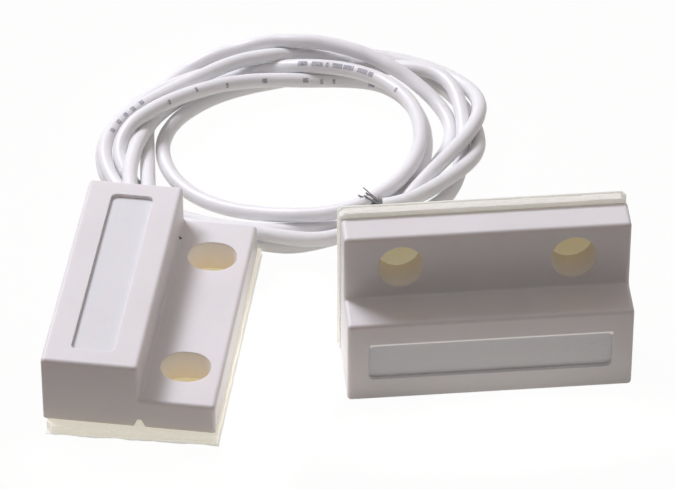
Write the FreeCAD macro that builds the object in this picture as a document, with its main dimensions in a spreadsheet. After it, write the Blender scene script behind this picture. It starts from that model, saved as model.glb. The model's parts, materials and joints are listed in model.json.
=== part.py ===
import FreeCAD, Part
import math
import os

import Sketcher
from FreeCAD import Placement, Rotation, Vector

# Magnetic door contact: a switch half with a sealed reed and two leads, and a magnet half.
# Row frame: the origin is the middle of the switch half's mounting face, +Y runs along its
# length away from the blunt end, +X runs from its bar to its flange, +Z is up off the mounting face.

SIZES = [
    ("case_length", 27.0, "both cases, along the bar"),
    ("case_width", 16.4, "bar and flange together"),
    ("bar_width", 9.2, "the high bar, across"),
    ("bar_height", 7.2, "the bar above the mounting face"),
    ("flange_thick", 3.2, "the screw flange above the mounting face"),
    ("edge_round", 0.4, "moulded rounding of the outer edges"),
    ("step_round", 0.25, "rounding in the corner under the step"),
    ("side_wall", 1.3, "bar's outer wall and the wall at the step"),
    ("end_wall", 1.6, "walls at both ends of the cavity"),
    ("roof_wall", 1.3, "wall over the cavity"),
    ("slot_width", 4.2, "screw slot, along the case"),
    ("slot_length", 4.8, "screw slot, across the flange"),
    ("slot_spacing", 16.3, "between the two screw slots"),
    ("recess_length", 23.0, "label recess in the bar's top"),
    ("recess_width", 4.1, "label recess, across"),
    ("recess_depth", 0.35, "label recess"),
    ("recess_round", 0.6, "corners of the label recess"),
    ("notch_width", 1.1, "alignment mark at the mounting face"),
    ("notch_height", 1.25, "alignment mark"),
    ("notch_depth", 0.9, "alignment mark, into the end face"),
    ("lead_dia", 1.5, "over the insulation"),
    ("conductor_dia", 0.6, "bunched copper"),
    ("lead_spacing", 1.7, "between the two leads at the exit"),
    ("lead_height", 2.2, "lead axis above the mounting face"),
    ("lead_clear", 0.05, "between a lead and its hole, all round"),
    ("lead_free", 3.1, "each lead, from the end face to the coil"),
    ("glass_dia", 2.0, "reed capsule"),
    ("glass_length", 14.0, "reed capsule"),
    ("glass_wall", 0.35, "reed capsule"),
    ("glass_bevel", 0.4, "fire-polished ends of the reed capsule"),
    ("seal_length", 1.8, "solid glass at each end of the capsule"),
    ("reed_height", 4.55, "capsule axis above the mounting face"),
    ("wire_dia", 0.5, "round ends of the reed blades"),
    ("wire_reach", 3.2, "round ends beyond the glass"),
    ("blade_width", 0.9, "flattened part of a reed blade"),
    ("blade_thick", 0.3, "flattened part of a reed blade"),
    ("blade_gap", 0.15, "open contact gap between the blades"),
    ("blade_overlap", 1.2, "contact faces, along the capsule"),
    ("blade_root", 0.3, "flattened part that the glass holds"),
    ("solder_dia", 1.3, "solder joint round a wire end"),
    ("solder_length", 1.6, "solder joint, along the wire"),
    ("solder_gap", 0.05, "solder between wire and conductor"),
    ("strip_length", 1.1, "bare conductor between insulation and joint"),
    ("potting_drop", 0.2, "resin surface below the mounting face"),
    ("magnet_length", 20.0, "bar magnet"),
    ("magnet_width", 5.0, "bar magnet"),
    ("magnet_height", 3.4, "bar magnet"),
    ("foam_thick", 0.9, "double-sided foam tape"),
    ("liner_thick", 0.1, "release liner on the tape"),
    ("tape_inset", 0.4, "tape short of the bar's outer side"),
    ("tape_side", 0.3, "switch tape beyond the flange"),
    ("tape_near", 1.2, "switch tape beyond the blunt end"),
    ("tape_far", 0.35, "switch tape beyond the lead end"),
    ("tape_skew", 0.6, "the near end of the switch tape is cut off square by this much"),
    ("tape_top", 0.6, "magnet tape beyond the flange"),
    ("tape_end", 0.2, "magnet tape beyond its left end"),
    ("tape_short", 0.1, "magnet tape short of its right end"),
    ("liner_over", 0.1, "liner beyond the tape"),
    ("tape_snip", 0.7, "torn corner of the tape"),
    ("magnet_x", 18.08, "magnet half: lower edge of its mounting face, left end"),
    ("magnet_y", 0.74, "the same point"),
    ("magnet_angle", 12.715, "degrees from the X axis to the magnet half's length"),
    ("coil_x", 9.35, "middle of the coiled leads"),
    ("coil_y", 29.6, "middle of the coiled leads"),
    ("coil_long", 20.4, "half of the coil's longer width"),
    ("coil_short", 17.1, "half of the coil's shorter width"),
    ("coil_angle", 36.5, "degrees, the way of the longer width"),
    ("gap_x", 9.65, "middle of the coil's open middle"),
    ("gap_y", 28.8, "middle of the coil's open middle"),
    ("gap_long", 12.5, "half of the open middle's longer width"),
    ("gap_short", 9.6, "half of the open middle's shorter width"),
    ("gap_angle", 20.0, "degrees, the way of its longer width"),
    ("coil_height", 4.7, "three turns on each other"),
    ("coil_slope", 1.1, "slope along the coil's upper outline"),
    ("coil_clear", 0.4, "between the coil and the switch half's tape"),
    ("tip_length", 2.1, "bare strands at a lead's end"),
    ("strand_dia", 0.22, "one strand"),
    ("strand_angle", 18.0, "degrees that a strand leans out"),
    ("tip_room", 0.35, "round the bare strands"),
    ("tip_a_x", 19.45, "first lead's end, on the coil"),
    ("tip_a_y", 19.35, "first lead's end, on the coil"),
    ("tip_a_z", 3.75, "first lead's end, on the coil"),
    ("tip_a_angle", 166.0, "degrees, the way its strands point"),
    ("tip_b_x", 20.9, "second lead's end, at the coil's edge"),
    ("tip_b_y", 18.0, "second lead's end, at the coil's edge"),
    ("tip_b_z", 1.5, "second lead's end, at the coil's edge"),
    ("tip_b_angle", 250.0, "degrees, the way its strands point"),
]

doc = FreeCAD.newDocument("door_contact")
sheet = doc.addObject("Spreadsheet::Sheet", "Sizes")
for line, (alias, value, note) in enumerate(SIZES, start=1):
    sheet.set(f"A{line}", alias)
    sheet.set(f"B{line}", str(value))
    sheet.setAlias(f"B{line}", alias)
    sheet.set(f"C{line}", note)
doc.recompute()

X_AXIS = Vector(1, 0, 0)
Y_AXIS = Vector(0, 1, 0)
Z_AXIS = Vector(0, 0, 1)
ORIGIN = (-1, 1)


def size(alias):
    """Read one driving dimension from the sheet."""
    return float(getattr(sheet, alias))


def evaluate(expression):
    """Work out an expression of driving dimensions."""
    return float(sheet.evalExpression(expression))


def bind(target, **expressions):
    """Tie properties of an object to the sheet."""
    for name, expression in expressions.items():
        target.setExpression(name.replace("__", "."), expression)


def new_body(name):
    """Start a PartDesign body that carries its node's name."""
    body = doc.addObject("PartDesign::Body", name)
    body.Label = name
    return body


def new_sketch(body, name, role, lift=None):
    """Add a sketch on one of the body's origin planes, lifted off it by an expression."""
    sketch = body.newObject("Sketcher::SketchObject", name)
    plane = next(f for f in body.Origin.OriginFeatures if f.Role == role)
    sketch.AttachmentSupport = [(plane, "")]
    sketch.MapMode = "FlatFace"
    if lift:
        sketch.setExpression("AttachmentOffset.Base.z", lift)
    return sketch


def dimension(sketch, kind, *where, expression):
    """Add a driving constraint and tie it to the sheet."""
    index = sketch.addConstraint(Sketcher.Constraint(kind, *where, evaluate(expression)))
    sketch.setExpression(f"Constraints[{index}]", expression)
    return index


def add_polygon(sketch, corners):
    """Add a closed run of lines and join their ends."""
    points = [Vector(x, y, 0) for x, y in corners]
    count = len(points)
    lines = [
        sketch.addGeometry(Part.LineSegment(points[i], points[(i + 1) % count]), False)
        for i in range(count)
    ]
    for i, line in enumerate(lines):
        sketch.addConstraint(
            Sketcher.Constraint("Coincident", line, 2, lines[(i + 1) % count], 1)
        )
    return lines


def square_up(sketch, lines):
    """Make the lines of a polygon horizontal and vertical in turn."""
    for i, line in enumerate(lines):
        kind = "Vertical" if i % 2 else "Horizontal"
        sketch.addConstraint(Sketcher.Constraint(kind, line))


def add_rectangle(sketch, left, low, width, height):
    """Add a rectangle whose place and size are expressions; a minus sign puts it past the origin."""
    x, y = evaluate(left), evaluate(low)
    far_x, far_y = x + evaluate(width), y + evaluate(height)
    lines = add_polygon(sketch, [(x, y), (far_x, y), (far_x, far_y), (x, far_y)])
    square_up(sketch, lines)
    corner = (lines[0], 1)
    for kind, expression in (("DistanceX", left), ("DistanceY", low)):
        if expression.startswith("-"):
            dimension(sketch, kind, *corner, *ORIGIN, expression=expression[1:])
        else:
            dimension(sketch, kind, *ORIGIN, *corner, expression=expression)
    dimension(sketch, "DistanceX", lines[0], 1, lines[0], 2, expression=width)
    dimension(sketch, "DistanceY", lines[1], 1, lines[1], 2, expression=height)
    return lines


def add_slot(sketch, middle_x, middle_y, length, width):
    """Add a round-ended slot that runs along the sketch's first axis."""
    radius, y = evaluate(width) / 2, evaluate(middle_y)
    reach = evaluate(length) / 2 - radius
    right, left = evaluate(middle_x) + reach, evaluate(middle_x) - reach
    quarter = math.pi / 2
    shapes = [
        Part.ArcOfCircle(Part.Circle(Vector(right, y, 0), Z_AXIS, radius), -quarter, quarter),
        Part.LineSegment(Vector(right, y + radius, 0), Vector(left, y + radius, 0)),
        Part.ArcOfCircle(Part.Circle(Vector(left, y, 0), Z_AXIS, radius), quarter, 3 * quarter),
        Part.LineSegment(Vector(left, y - radius, 0), Vector(right, y - radius, 0)),
    ]
    ids = [sketch.addGeometry(shape, False) for shape in shapes]
    for i in range(4):
        joint = (ids[i], 2, ids[(i + 1) % 4], 1)
        sketch.addConstraint(Sketcher.Constraint("Tangent", *joint))
    sketch.addConstraint(Sketcher.Constraint("Horizontal", ids[1]))
    dimension(sketch, "Radius", ids[0], expression=f"{width} / 2")
    half = f"({length} - {width}) / 2"
    dimension(sketch, "DistanceX", *ORIGIN, ids[0], 3, expression=f"{middle_x} + {half}")
    dimension(sketch, "DistanceX", *ORIGIN, ids[2], 3, expression=f"{middle_x} - {half}")
    dimension(sketch, "DistanceY", *ORIGIN, ids[0], 3, expression=middle_y)


def pad(body, sketch, name, length, backwards=False):
    """Extrude a sketch into the body."""
    feature = body.newObject("PartDesign::Pad", name)
    feature.Profile = sketch
    feature.setExpression("Length", length)
    feature.Reversed = backwards
    return feature


def pocket(body, sketch, name, depth, backwards=False):
    """Cut a sketch out of the body, and stop if nothing was cut."""
    doc.recompute()
    before = body.Shape.Volume
    feature = body.newObject("PartDesign::Pocket", name)
    feature.Profile = sketch
    feature.setExpression("Length", depth)
    feature.Reversed = backwards
    doc.recompute()
    if body.Shape.Volume >= before:
        raise RuntimeError(f"{name} cuts nothing")
    return feature


def edge_names(shape, wanted):
    """Name the edges of a shape for which wanted(box of the edge) is true."""
    return [
        f"Edge{i}" for i, edge in enumerate(shape.Edges, start=1) if wanted(edge.BoundBox)
    ]


def round_edges(body, name, radius, wanted):
    """Fillet the edges of the body's tip that wanted() picks."""
    doc.recompute()
    tip = body.Tip
    names = edge_names(tip.Shape, wanted)
    if not names:
        raise RuntimeError(f"{name} finds no edge")
    feature = body.newObject("PartDesign::Fillet", name)
    feature.Base = (tip, names)
    feature.setExpression("Radius", radius)
    doc.recompute()
    return feature


def same(first, second):
    """Tell whether two lengths are equal to a thousandth."""
    return abs(first - second) < 1e-3


def is_line(box, x=None, y=None, z=None):
    """Tell whether an edge's box is flat on each plane that is given."""
    planes = ((box.XMin, box.XMax, x), (box.YMin, box.YMax, y), (box.ZMin, box.ZMax, z))
    return all(same(a, at) and same(b, at) for a, b, at in planes if at is not None)


def make_case(name, with_leads):
    """Mould one L-shaped case in its own frame: X across, Y along, Z off the mounting face."""
    body = new_body(name)
    length, width = size("case_length"), size("case_width")
    bar, high, low = size("bar_width"), size("bar_height"), size("flange_thick")

    section = new_sketch(body, f"{name}_section", "XZ_Plane")
    corners = [(0, 0), (width, 0), (width, low), (bar, low), (bar, high), (0, high)]
    lines = add_polygon(section, corners)
    square_up(section, lines)
    section.addConstraint(Sketcher.Constraint("Coincident", lines[0], 1, *ORIGIN))
    dimension(section, "DistanceX", lines[0], 1, lines[0], 2, expression="Sizes.case_width")
    dimension(section, "DistanceY", lines[1], 1, lines[1], 2, expression="Sizes.flange_thick")
    dimension(section, "DistanceX", lines[4], 2, lines[4], 1, expression="Sizes.bar_width")
    dimension(section, "DistanceY", lines[5], 2, lines[5], 1, expression="Sizes.bar_height")
    pad(body, section, f"{name}_block", "Sizes.case_length", backwards=True)

    def outer_edge(box):
        tall = is_line(box, x=0.0, y=0.0) or is_line(box, x=0.0, y=length)
        end = is_line(box, x=width, y=0.0) or is_line(box, x=width, y=length)
        crest = is_line(box, z=high)
        lip = is_line(box, z=low) and box.XMax > width - 1e-3
        nose = is_line(box, x=bar, y=0.0) or is_line(box, x=bar, y=length)
        return tall or end or crest or lip or nose

    def step_corner(box):
        return is_line(box, x=bar, z=low)

    round_edges(body, f"{name}_step", "Sizes.step_round", step_corner)
    round_edges(body, f"{name}_edges", "Sizes.edge_round", outer_edge)

    cavity = new_sketch(body, f"{name}_cavity_outline", "XY_Plane")
    add_rectangle(
        cavity,
        "Sizes.side_wall",
        "Sizes.end_wall",
        "Sizes.bar_width - 2 * Sizes.side_wall",
        "Sizes.case_length - 2 * Sizes.end_wall",
    )
    pocket(body, cavity, f"{name}_cavity", "Sizes.bar_height - Sizes.roof_wall", backwards=True)

    for place, sign in (("near", "-"), ("far", "+")):
        slot = new_sketch(body, f"{name}_slot_outline_{place}", "XY_Plane")
        add_slot(
            slot,
            "(Sizes.bar_width + Sizes.case_width) / 2",
            f"(Sizes.case_length {sign} Sizes.slot_spacing) / 2",
            "Sizes.slot_length",
            "Sizes.slot_width",
        )
        pocket(body, slot, f"{name}_slot_{place}", "Sizes.flange_thick + 1", backwards=True)

    recess = new_sketch(body, f"{name}_recess_outline", "XY_Plane", "Sizes.bar_height")
    add_rectangle(
        recess,
        "(Sizes.bar_width - Sizes.recess_width) / 2",
        "(Sizes.case_length - Sizes.recess_length) / 2",
        "Sizes.recess_width",
        "Sizes.recess_length",
    )
    pocket(body, recess, f"{name}_recess", "Sizes.recess_depth")
    sides = ((bar - size("recess_width")) / 2, (bar + size("recess_width")) / 2)
    ends = ((length - size("recess_length")) / 2, (length + size("recess_length")) / 2)

    def recess_corner(box):
        return any(is_line(box, x=x, y=y) for x in sides for y in ends)

    round_edges(body, f"{name}_recess_corners", "Sizes.recess_round", recess_corner)

    mark = new_sketch(body, f"{name}_mark_outline", "XZ_Plane")
    half = size("notch_width") / 2
    corners = [(bar - half, 0), (bar + half, 0), (bar, size("notch_height"))]
    lines = add_polygon(mark, corners)
    mark.addConstraint(Sketcher.Constraint("PointOnObject", lines[0], 1, -1))
    mark.addConstraint(Sketcher.Constraint("Horizontal", lines[0]))
    mark.addConstraint(Sketcher.Constraint("Equal", lines[1], lines[2]))
    dimension(mark, "DistanceX", lines[0], 1, lines[0], 2, expression="Sizes.notch_width")
    dimension(mark, "DistanceX", *ORIGIN, lines[1], 2, expression="Sizes.bar_width")
    dimension(mark, "DistanceY", *ORIGIN, lines[1], 2, expression="Sizes.notch_height")
    pocket(body, mark, f"{name}_mark", "Sizes.notch_depth")

    if with_leads:
        exits = new_sketch(body, f"{name}_exit_outline", "XZ_Plane", "-Sizes.case_length")
        radius = "Sizes.lead_dia / 2 + Sizes.lead_clear"
        for sign in "-+":
            across = f"(Sizes.bar_width {sign} Sizes.lead_spacing) / 2"
            middle = Vector(evaluate(across), size("lead_height"), 0)
            index = exits.addGeometry(Part.Circle(middle, Z_AXIS, evaluate(radius)), False)
            dimension(exits, "DistanceX", *ORIGIN, index, 3, expression=across)
            dimension(exits, "DistanceY", *ORIGIN, index, 3, expression="Sizes.lead_height")
            dimension(exits, "Radius", index, expression=radius)
        pocket(body, exits, f"{name}_exits", "Sizes.end_wall + 0.5", backwards=True)
    return body


def add_skewed(sketch, left, low, width, height, skew):
    """Add a rectangle whose low edge rises to the right; a minus sign puts it past the origin."""
    x, y = evaluate(left), evaluate(low)
    far_x, far_y = x + evaluate(width), y + evaluate(height)
    corners = [(x, y), (far_x, y + evaluate(skew)), (far_x, far_y), (x, far_y)]
    lines = add_polygon(sketch, corners)
    for line, kind in ((1, "Vertical"), (2, "Horizontal"), (3, "Vertical")):
        sketch.addConstraint(Sketcher.Constraint(kind, lines[line]))
    dimension(sketch, "DistanceX", *ORIGIN, lines[0], 1, expression=left)
    dimension(sketch, "DistanceY", lines[0], 1, *ORIGIN, expression=low[1:])
    dimension(sketch, "DistanceX", lines[2], 2, lines[2], 1, expression=width)
    dimension(sketch, "DistanceY", lines[3], 2, lines[3], 1, expression=height)
    dimension(sketch, "DistanceY", lines[0], 1, lines[0], 2, expression=skew)


def settle(body, place):
    """Tie a body's place to the sheet by an expression, and stop if it isn't taken."""
    body.setExpression("Placement", place)
    doc.recompute()
    if body.Placement.isIdentity():
        raise RuntimeError(f"{body.Name} isn't placed")


def block(name, width, length, height, place, x, y, z, snip=None, skew=None):
    """Add a flat-sided body at a place, its low corner at x, y, z of that place's frame."""
    body = new_body(name)
    outline = new_sketch(body, f"{name}_outline", "XY_Plane", z)
    if skew:
        add_skewed(outline, x, y, width, length, skew)
    else:
        add_rectangle(outline, x, y, width, length)
    pad(body, outline, f"{name}_block", height)
    if snip:
        doc.recompute()
        tip = body.Tip
        whole = tip.Shape.BoundBox

        def torn_corner(box):
            return is_line(box, x=whole.XMin, y=whole.YMin)

        cut_off = body.newObject("PartDesign::Chamfer", f"{name}_torn")
        cut_off.Base = (tip, edge_names(tip.Shape, torn_corner))
        cut_off.setExpression("Size", snip)
    settle(body, place)
    return body


def put(solid, x, y, z):
    """Tie a primitive's place to expressions."""
    bind(solid, Placement__Base__x=x, Placement__Base__y=y, Placement__Base__z=z)
    return solid


def cylinder(name, radius, height, x, y, z, tilt):
    """Add a cylinder whose axis starts at x, y, z in the row frame and points along tilt."""
    solid = doc.addObject("Part::Cylinder", name)
    solid.Placement = Placement(Vector(), Rotation(Z_AXIS, tilt))
    bind(solid, Radius=radius, Height=height)
    return put(solid, x, y, z)


def box(name, length, width, height):
    """Add a box with its corner at the origin."""
    solid = doc.addObject("Part::Box", name)
    bind(solid, Length=length, Width=width, Height=height)
    return solid


def fuse(name, *pieces):
    """Join solids of one piece."""
    joined = doc.addObject("Part::MultiFuse", name)
    joined.Shapes = list(pieces)
    joined.Refine = True
    return joined


def cut(name, base, tool):
    """Cut one solid by another."""
    result = doc.addObject("Part::Cut", name)
    result.Base = base
    result.Tool = tool
    result.Refine = True
    return result


def sloped(name, base, reach, wanted):
    """Chamfer the edges of a Part object that wanted() picks."""
    doc.recompute()
    result = doc.addObject("Part::Chamfer", name)
    result.Base = base
    picked = [i for i, edge in enumerate(base.Shape.Edges, start=1) if wanted(edge.BoundBox)]
    result.Edges = [(i, size(reach), size(reach)) for i in picked]
    doc.recompute()
    return result


# The two halves' own frames in the row frame, as expressions
SWITCH = (
    "placement(vector(-Sizes.case_width / 2; -Sizes.case_length / 2;"
    " Sizes.foam_thick + Sizes.liner_thick); rotation(vector(0; 0; 1); 0))"
)
MAGNET = (
    "placement(vector(Sizes.magnet_x + cos(Sizes.magnet_angle) * Sizes.case_length;"
    " Sizes.magnet_y + sin(Sizes.magnet_angle) * Sizes.case_length; 0);"
    " rotation(vector(0; 0; 1); 180 + Sizes.magnet_angle) * rotation(vector(1; 1; 1); -120))"
)

# Row coordinates of the lead exits and the reed, as expressions
BAR_MIDDLE = "(Sizes.bar_width - Sizes.case_width) / 2"
FAR_FACE = "Sizes.case_length / 2"
FLOOR = "Sizes.foam_thick + Sizes.liner_thick"
LEAD_X = {
    "a": f"{BAR_MIDDLE} + Sizes.lead_spacing / 2",
    "b": f"{BAR_MIDDLE} - Sizes.lead_spacing / 2",
}
LEAD_Z = f"{FLOOR} + Sizes.lead_height"
REED_Z = f"{FLOOR} + Sizes.reed_height"
JOINT_OUT = "(Sizes.glass_length / 2 + Sizes.wire_reach - Sizes.solder_length / 2)"
JOINT_Y = {"a": JOINT_OUT, "b": f"-{JOINT_OUT}"}
BULB_END = "(Sizes.glass_length / 2 - Sizes.seal_length)"


def make_blade(name, sign):
    """Build one reed blade: a round wire through the seal and a flat strip inside the glass."""
    wire = cylinder(
        f"{name}_wire",
        "Sizes.wire_dia / 2",
        "Sizes.wire_reach + Sizes.seal_length",
        BAR_MIDDLE,
        f"{sign} * {BULB_END}",
        REED_Z,
        Y_AXIS * sign,
    )
    reach = f"{BULB_END} + Sizes.blade_overlap / 2 + Sizes.blade_root"
    strip = box(f"{name}_strip", "Sizes.blade_width", reach, "Sizes.blade_thick")
    if sign > 0:
        start, rise = "-Sizes.blade_overlap / 2", "-Sizes.blade_gap / 2 - Sizes.blade_thick"
    else:
        start, rise = f"-({BULB_END} + Sizes.blade_root)", "Sizes.blade_gap / 2"
    put(strip, f"{BAR_MIDDLE} - Sizes.blade_width / 2", start, f"{REED_Z} + {rise}")
    return fuse(name, wire, strip)


def make_glass(blades):
    """Build the glass capsule, sealed round the two blades."""
    start = "-Sizes.glass_length / 2"
    blank = cylinder(
        "glass_rod", "Sizes.glass_dia / 2", "Sizes.glass_length", BAR_MIDDLE, start, REED_Z, Y_AXIS
    )
    radius = size("glass_dia") / 2

    def rim(edge_box):
        return same(edge_box.XLength, 2 * radius) and same(edge_box.YLength, 0)

    capsule = sloped("glass_capsule", blank, "glass_bevel", rim)
    hollow = cylinder(
        "glass_hollow",
        "Sizes.glass_dia / 2 - Sizes.glass_wall",
        f"2 * {BULB_END}",
        BAR_MIDDLE,
        f"-{BULB_END}",
        REED_Z,
        Y_AXIS,
    )
    return capsule, cut("reed_glass", capsule, fuse("glass_inside", hollow, *blades))


def make_lead_end(letter, blade):
    """Lay a lead's potted stretch, its bare conductor and the solder joint on the reed's wire."""
    inner = f"{JOINT_Y[letter]} + Sizes.strip_length"
    tail = cylinder(
        f"lead_{letter}_tail",
        "Sizes.lead_dia / 2",
        f"{FAR_FACE} - ({inner})",
        LEAD_X[letter],
        inner,
        LEAD_Z,
        Y_AXIS,
    )
    joint_z = f"{REED_Z} - (Sizes.conductor_dia + Sizes.solder_gap) / 2"
    blob = cylinder(
        f"solder_{letter}_blob",
        "Sizes.solder_dia / 2",
        "Sizes.solder_length",
        BAR_MIDDLE,
        f"{JOINT_Y[letter]} - Sizes.solder_length / 2",
        joint_z,
        Y_AXIS,
    )
    doc.recompute()

    start = tail.Placement.Base
    along = blob.Placement.Base + Y_AXIS * size("solder_length") / 2
    below = (size("wire_dia") + size("solder_gap")) / 2
    end = along - Z_AXIS * below
    radius = size("conductor_dia") / 2
    way = (end - start).normalize()
    root = start - way * radius
    rod = Part.makeCylinder(radius, (end - root).Length, root, way)
    reach = size("wire_dia")
    stub = Part.makeCylinder(radius, 2 * reach, end - Y_AXIS * reach, Y_AXIS)
    whole = rod.fuse([stub, Part.makeSphere(radius, end)]).removeSplitter()
    conductor = doc.addObject("Part::Feature", f"conductor_{letter}")
    conductor.Shape = whole.cut(tail.Shape)
    held = fuse(f"solder_{letter}_inside", blade, conductor)
    solder = cut(f"solder_{letter}", blob, held)
    return tail, conductor, blob, solder


def make_potting(name, place, tools):
    """Fill a case's cavity with resin round the pieces that it holds."""
    filling = block(
        f"{name}_filling",
        "Sizes.bar_width - 2 * Sizes.side_wall",
        "Sizes.case_length - 2 * Sizes.end_wall",
        "Sizes.bar_height - Sizes.roof_wall - Sizes.potting_drop",
        place,
        "Sizes.side_wall",
        "Sizes.end_wall",
        "Sizes.potting_drop",
    )
    held = tools[0] if len(tools) == 1 else fuse(f"{name}_tools", *tools)
    return cut(name, filling, held)


def make_tape(half, place, side, near, far, snip=None, skew=None):
    """Lay the foam tape and its liner on a half's mounting face; the lengths go past the case."""
    layers = []
    for name, thick, drop, over in (
        ("tape", "Sizes.foam_thick", "Sizes.foam_thick", "0"),
        ("liner", "Sizes.liner_thick", f"({FLOOR})", "Sizes.liner_over"),
    ):
        layers.append(
            block(
                f"{half}_{name}",
                f"Sizes.case_width - Sizes.tape_inset + {side} + {over}",
                f"Sizes.case_length + {near} + {far} + 2 * {over}",
                thick,
                place,
                "Sizes.tape_inset",
                f"-({near} + {over})" if near[0] != "-" else f"({near[1:]} - {over})",
                f"-{drop}",
                snip,
                skew,
            )
        )
    return layers


def make_lead(letter):
    """Run a lead from the end face to the coil, and compare its volume with its length."""
    lead = cylinder(
        f"lead_{letter}",
        "Sizes.lead_dia / 2",
        "Sizes.lead_free",
        LEAD_X[letter],
        FAR_FACE,
        LEAD_Z,
        Y_AXIS,
    )
    doc.recompute()
    area = math.pi * size("lead_dia") ** 2 / 4
    if not same(lead.Shape.Volume / area, size("lead_free")):
        raise RuntimeError(f"{lead.Name} isn't a plain tube")
    print(lead.Name, "straight, no radius, run", size("lead_free"))
    return lead


def oval(name, x, y, half_long, half_short, turn, height):
    """Extrude an ellipse up from the floor."""
    outline = doc.addObject("Part::Ellipse", f"{name}_outline")
    outline.Placement = Placement(Vector(), Rotation(Z_AXIS, size(turn)))
    bind(outline, MajorRadius=f"Sizes.{half_long}", MinorRadius=f"Sizes.{half_short}")
    put(outline, f"Sizes.{x}", f"Sizes.{y}", "0")
    raised = doc.addObject("Part::Extrusion", name)
    raised.Base = outline
    raised.DirMode = "Custom"
    raised.Dir = Z_AXIS
    raised.Solid = True
    bind(raised, LengthFwd=height)
    return raised


def tip_place(letter):
    """Give the place of a lead's end: the root at the origin, its strands along X."""
    base = Vector(size(f"tip_{letter}_x"), size(f"tip_{letter}_y"), size(f"tip_{letter}_z"))
    return Placement(base, Rotation(Z_AXIS, size(f"tip_{letter}_angle")))


def make_tip(letter):
    """Fan a lead's bare strands out of its end; they start flush on the coil's flat."""
    radius, length = size("strand_dia") / 2, size("tip_length")
    lean = math.radians(size("strand_angle"))
    strands = [Part.makeCylinder(size("conductor_dia") / 2, 0.5, Vector(-0.2, 0, 0), X_AXIS)]
    for i, longer in enumerate((0.0, 0.4, 0.1, 0.5)):
        turn = math.radians(90 * i + 25)
        side = Vector(0, math.cos(turn), math.sin(turn))
        way = X_AXIS * math.cos(lean) + side * math.sin(lean)
        start = side * (size("conductor_dia") / 2 - radius)
        strands.append(Part.makeCylinder(radius, length + longer, start, way))
    strands.append(Part.makeCylinder(radius, length + 0.2, Vector(), X_AXIS))
    shape = strands[0].fuse(strands[1:])
    behind = Part.makeBox(2, 4, 4, Vector(-2, -2, -2))
    tip = doc.addObject("Part::Feature", f"lead_tip_{letter}")
    tip.Shape = shape.cut(behind)
    tip.Placement = tip_place(letter)
    return tip


def tip_room(letter, floor):
    """Cut room for a lead's bare strands out of the coil, from a flat behind their root."""
    side = size("tip_length") * math.sin(math.radians(size("strand_angle")))
    side += size("conductor_dia") / 2 + size("tip_room")
    room = doc.addObject("Part::Box", f"tip_{letter}_room")
    room.Length = size("tip_length") + 4 * size("tip_room")
    room.Width = 2 * side
    drop = side if floor is None else size(f"tip_{letter}_z") - floor
    room.Height = 2 * size("coil_height")
    room.Placement = tip_place(letter).multiply(Placement(Vector(0, -side, -drop), Rotation()))
    return room


def make_coil():
    """Fill the outline of the coiled leads, clear of the switch half and the bare strands."""
    outer = oval(
        "coil_outer", "coil_x", "coil_y", "coil_long", "coil_short", "coil_angle",
        "Sizes.coil_height",
    )
    inner = oval(
        "coil_inner", "gap_x", "gap_y", "gap_long", "gap_short", "gap_angle",
        "Sizes.coil_height + 1",
    )

    def upper(edge_box):
        return is_line(edge_box, z=size("coil_height"))

    outer = sloped("coil_sloped", outer, "coil_slope", upper)
    beside = "Sizes.case_width / 2 + Sizes.tape_side + Sizes.liner_over + Sizes.coil_clear"
    beyond = "Sizes.case_length / 2 + Sizes.tape_far + Sizes.liner_over + Sizes.coil_clear"
    case_room = box("case_room", f"2 * ({beside})", "Sizes.case_length", "2 * Sizes.coil_height")
    put(case_room, f"-({beside})", f"{beyond} - Sizes.case_length", "-1")
    wide = "2 * Sizes.lead_spacing + Sizes.lead_dia"
    lead_room = box("lead_room", wide, "Sizes.lead_free + 5", "2 * Sizes.coil_height")
    put(lead_room, f"{BAR_MIDDLE} - ({wide}) / 2", f"{FAR_FACE} - 5", "-1")
    rooms = [inner, case_room, lead_room, tip_room("a", None), tip_room("b", -1.0)]
    return cut("lead_coil", outer, fuse("coil_rooms", *rooms))


def build():
    """Make every piece and give the nodes in the order of the parts list."""
    switch_case = make_case("switch_case", True)
    settle(switch_case, SWITCH)
    near = make_blade("reed_blade_near", -1)
    far = make_blade("reed_blade_far", 1)
    capsule, glass = make_glass([near, far])
    tail_a, conductor_a, blob_a, solder_a = make_lead_end("a", far)
    tail_b, conductor_b, blob_b, solder_b = make_lead_end("b", near)
    held = [capsule, near, far, tail_a, tail_b, conductor_a, conductor_b, blob_a, blob_b]
    switch_potting = make_potting("switch_potting", SWITCH, held)
    switch_tape, switch_liner = make_tape(
        "switch", SWITCH, "Sizes.tape_side", "Sizes.tape_near", "Sizes.tape_far",
        "Sizes.tape_snip", "Sizes.tape_skew",
    )

    magnet_case = make_case("magnet_case", False)
    settle(magnet_case, MAGNET)
    bar_magnet = block(
        "bar_magnet",
        "Sizes.magnet_width",
        "Sizes.magnet_length",
        "Sizes.magnet_height",
        MAGNET,
        "(Sizes.bar_width - Sizes.magnet_width) / 2",
        "(Sizes.case_length - Sizes.magnet_length) / 2",
        "Sizes.bar_height - Sizes.roof_wall - Sizes.magnet_height",
    )
    magnet_potting = make_potting("magnet_potting", MAGNET, [bar_magnet])
    magnet_tape, magnet_liner = make_tape(
        "magnet", MAGNET, "Sizes.tape_top", "-Sizes.tape_short", "Sizes.tape_end"
    )
    lead_a, lead_b = make_lead("a"), make_lead("b")
    coil = make_coil()
    tip_a, tip_b = make_tip("a"), make_tip("b")
    return [
        switch_case, glass, near, far, tail_a, tail_b, conductor_a, conductor_b,
        solder_a, solder_b, switch_potting, switch_tape, switch_liner,
        magnet_case, bar_magnet, magnet_potting, magnet_tape, magnet_liner,
        lead_a, lead_b, coil, tip_a, tip_b,
    ]


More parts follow.
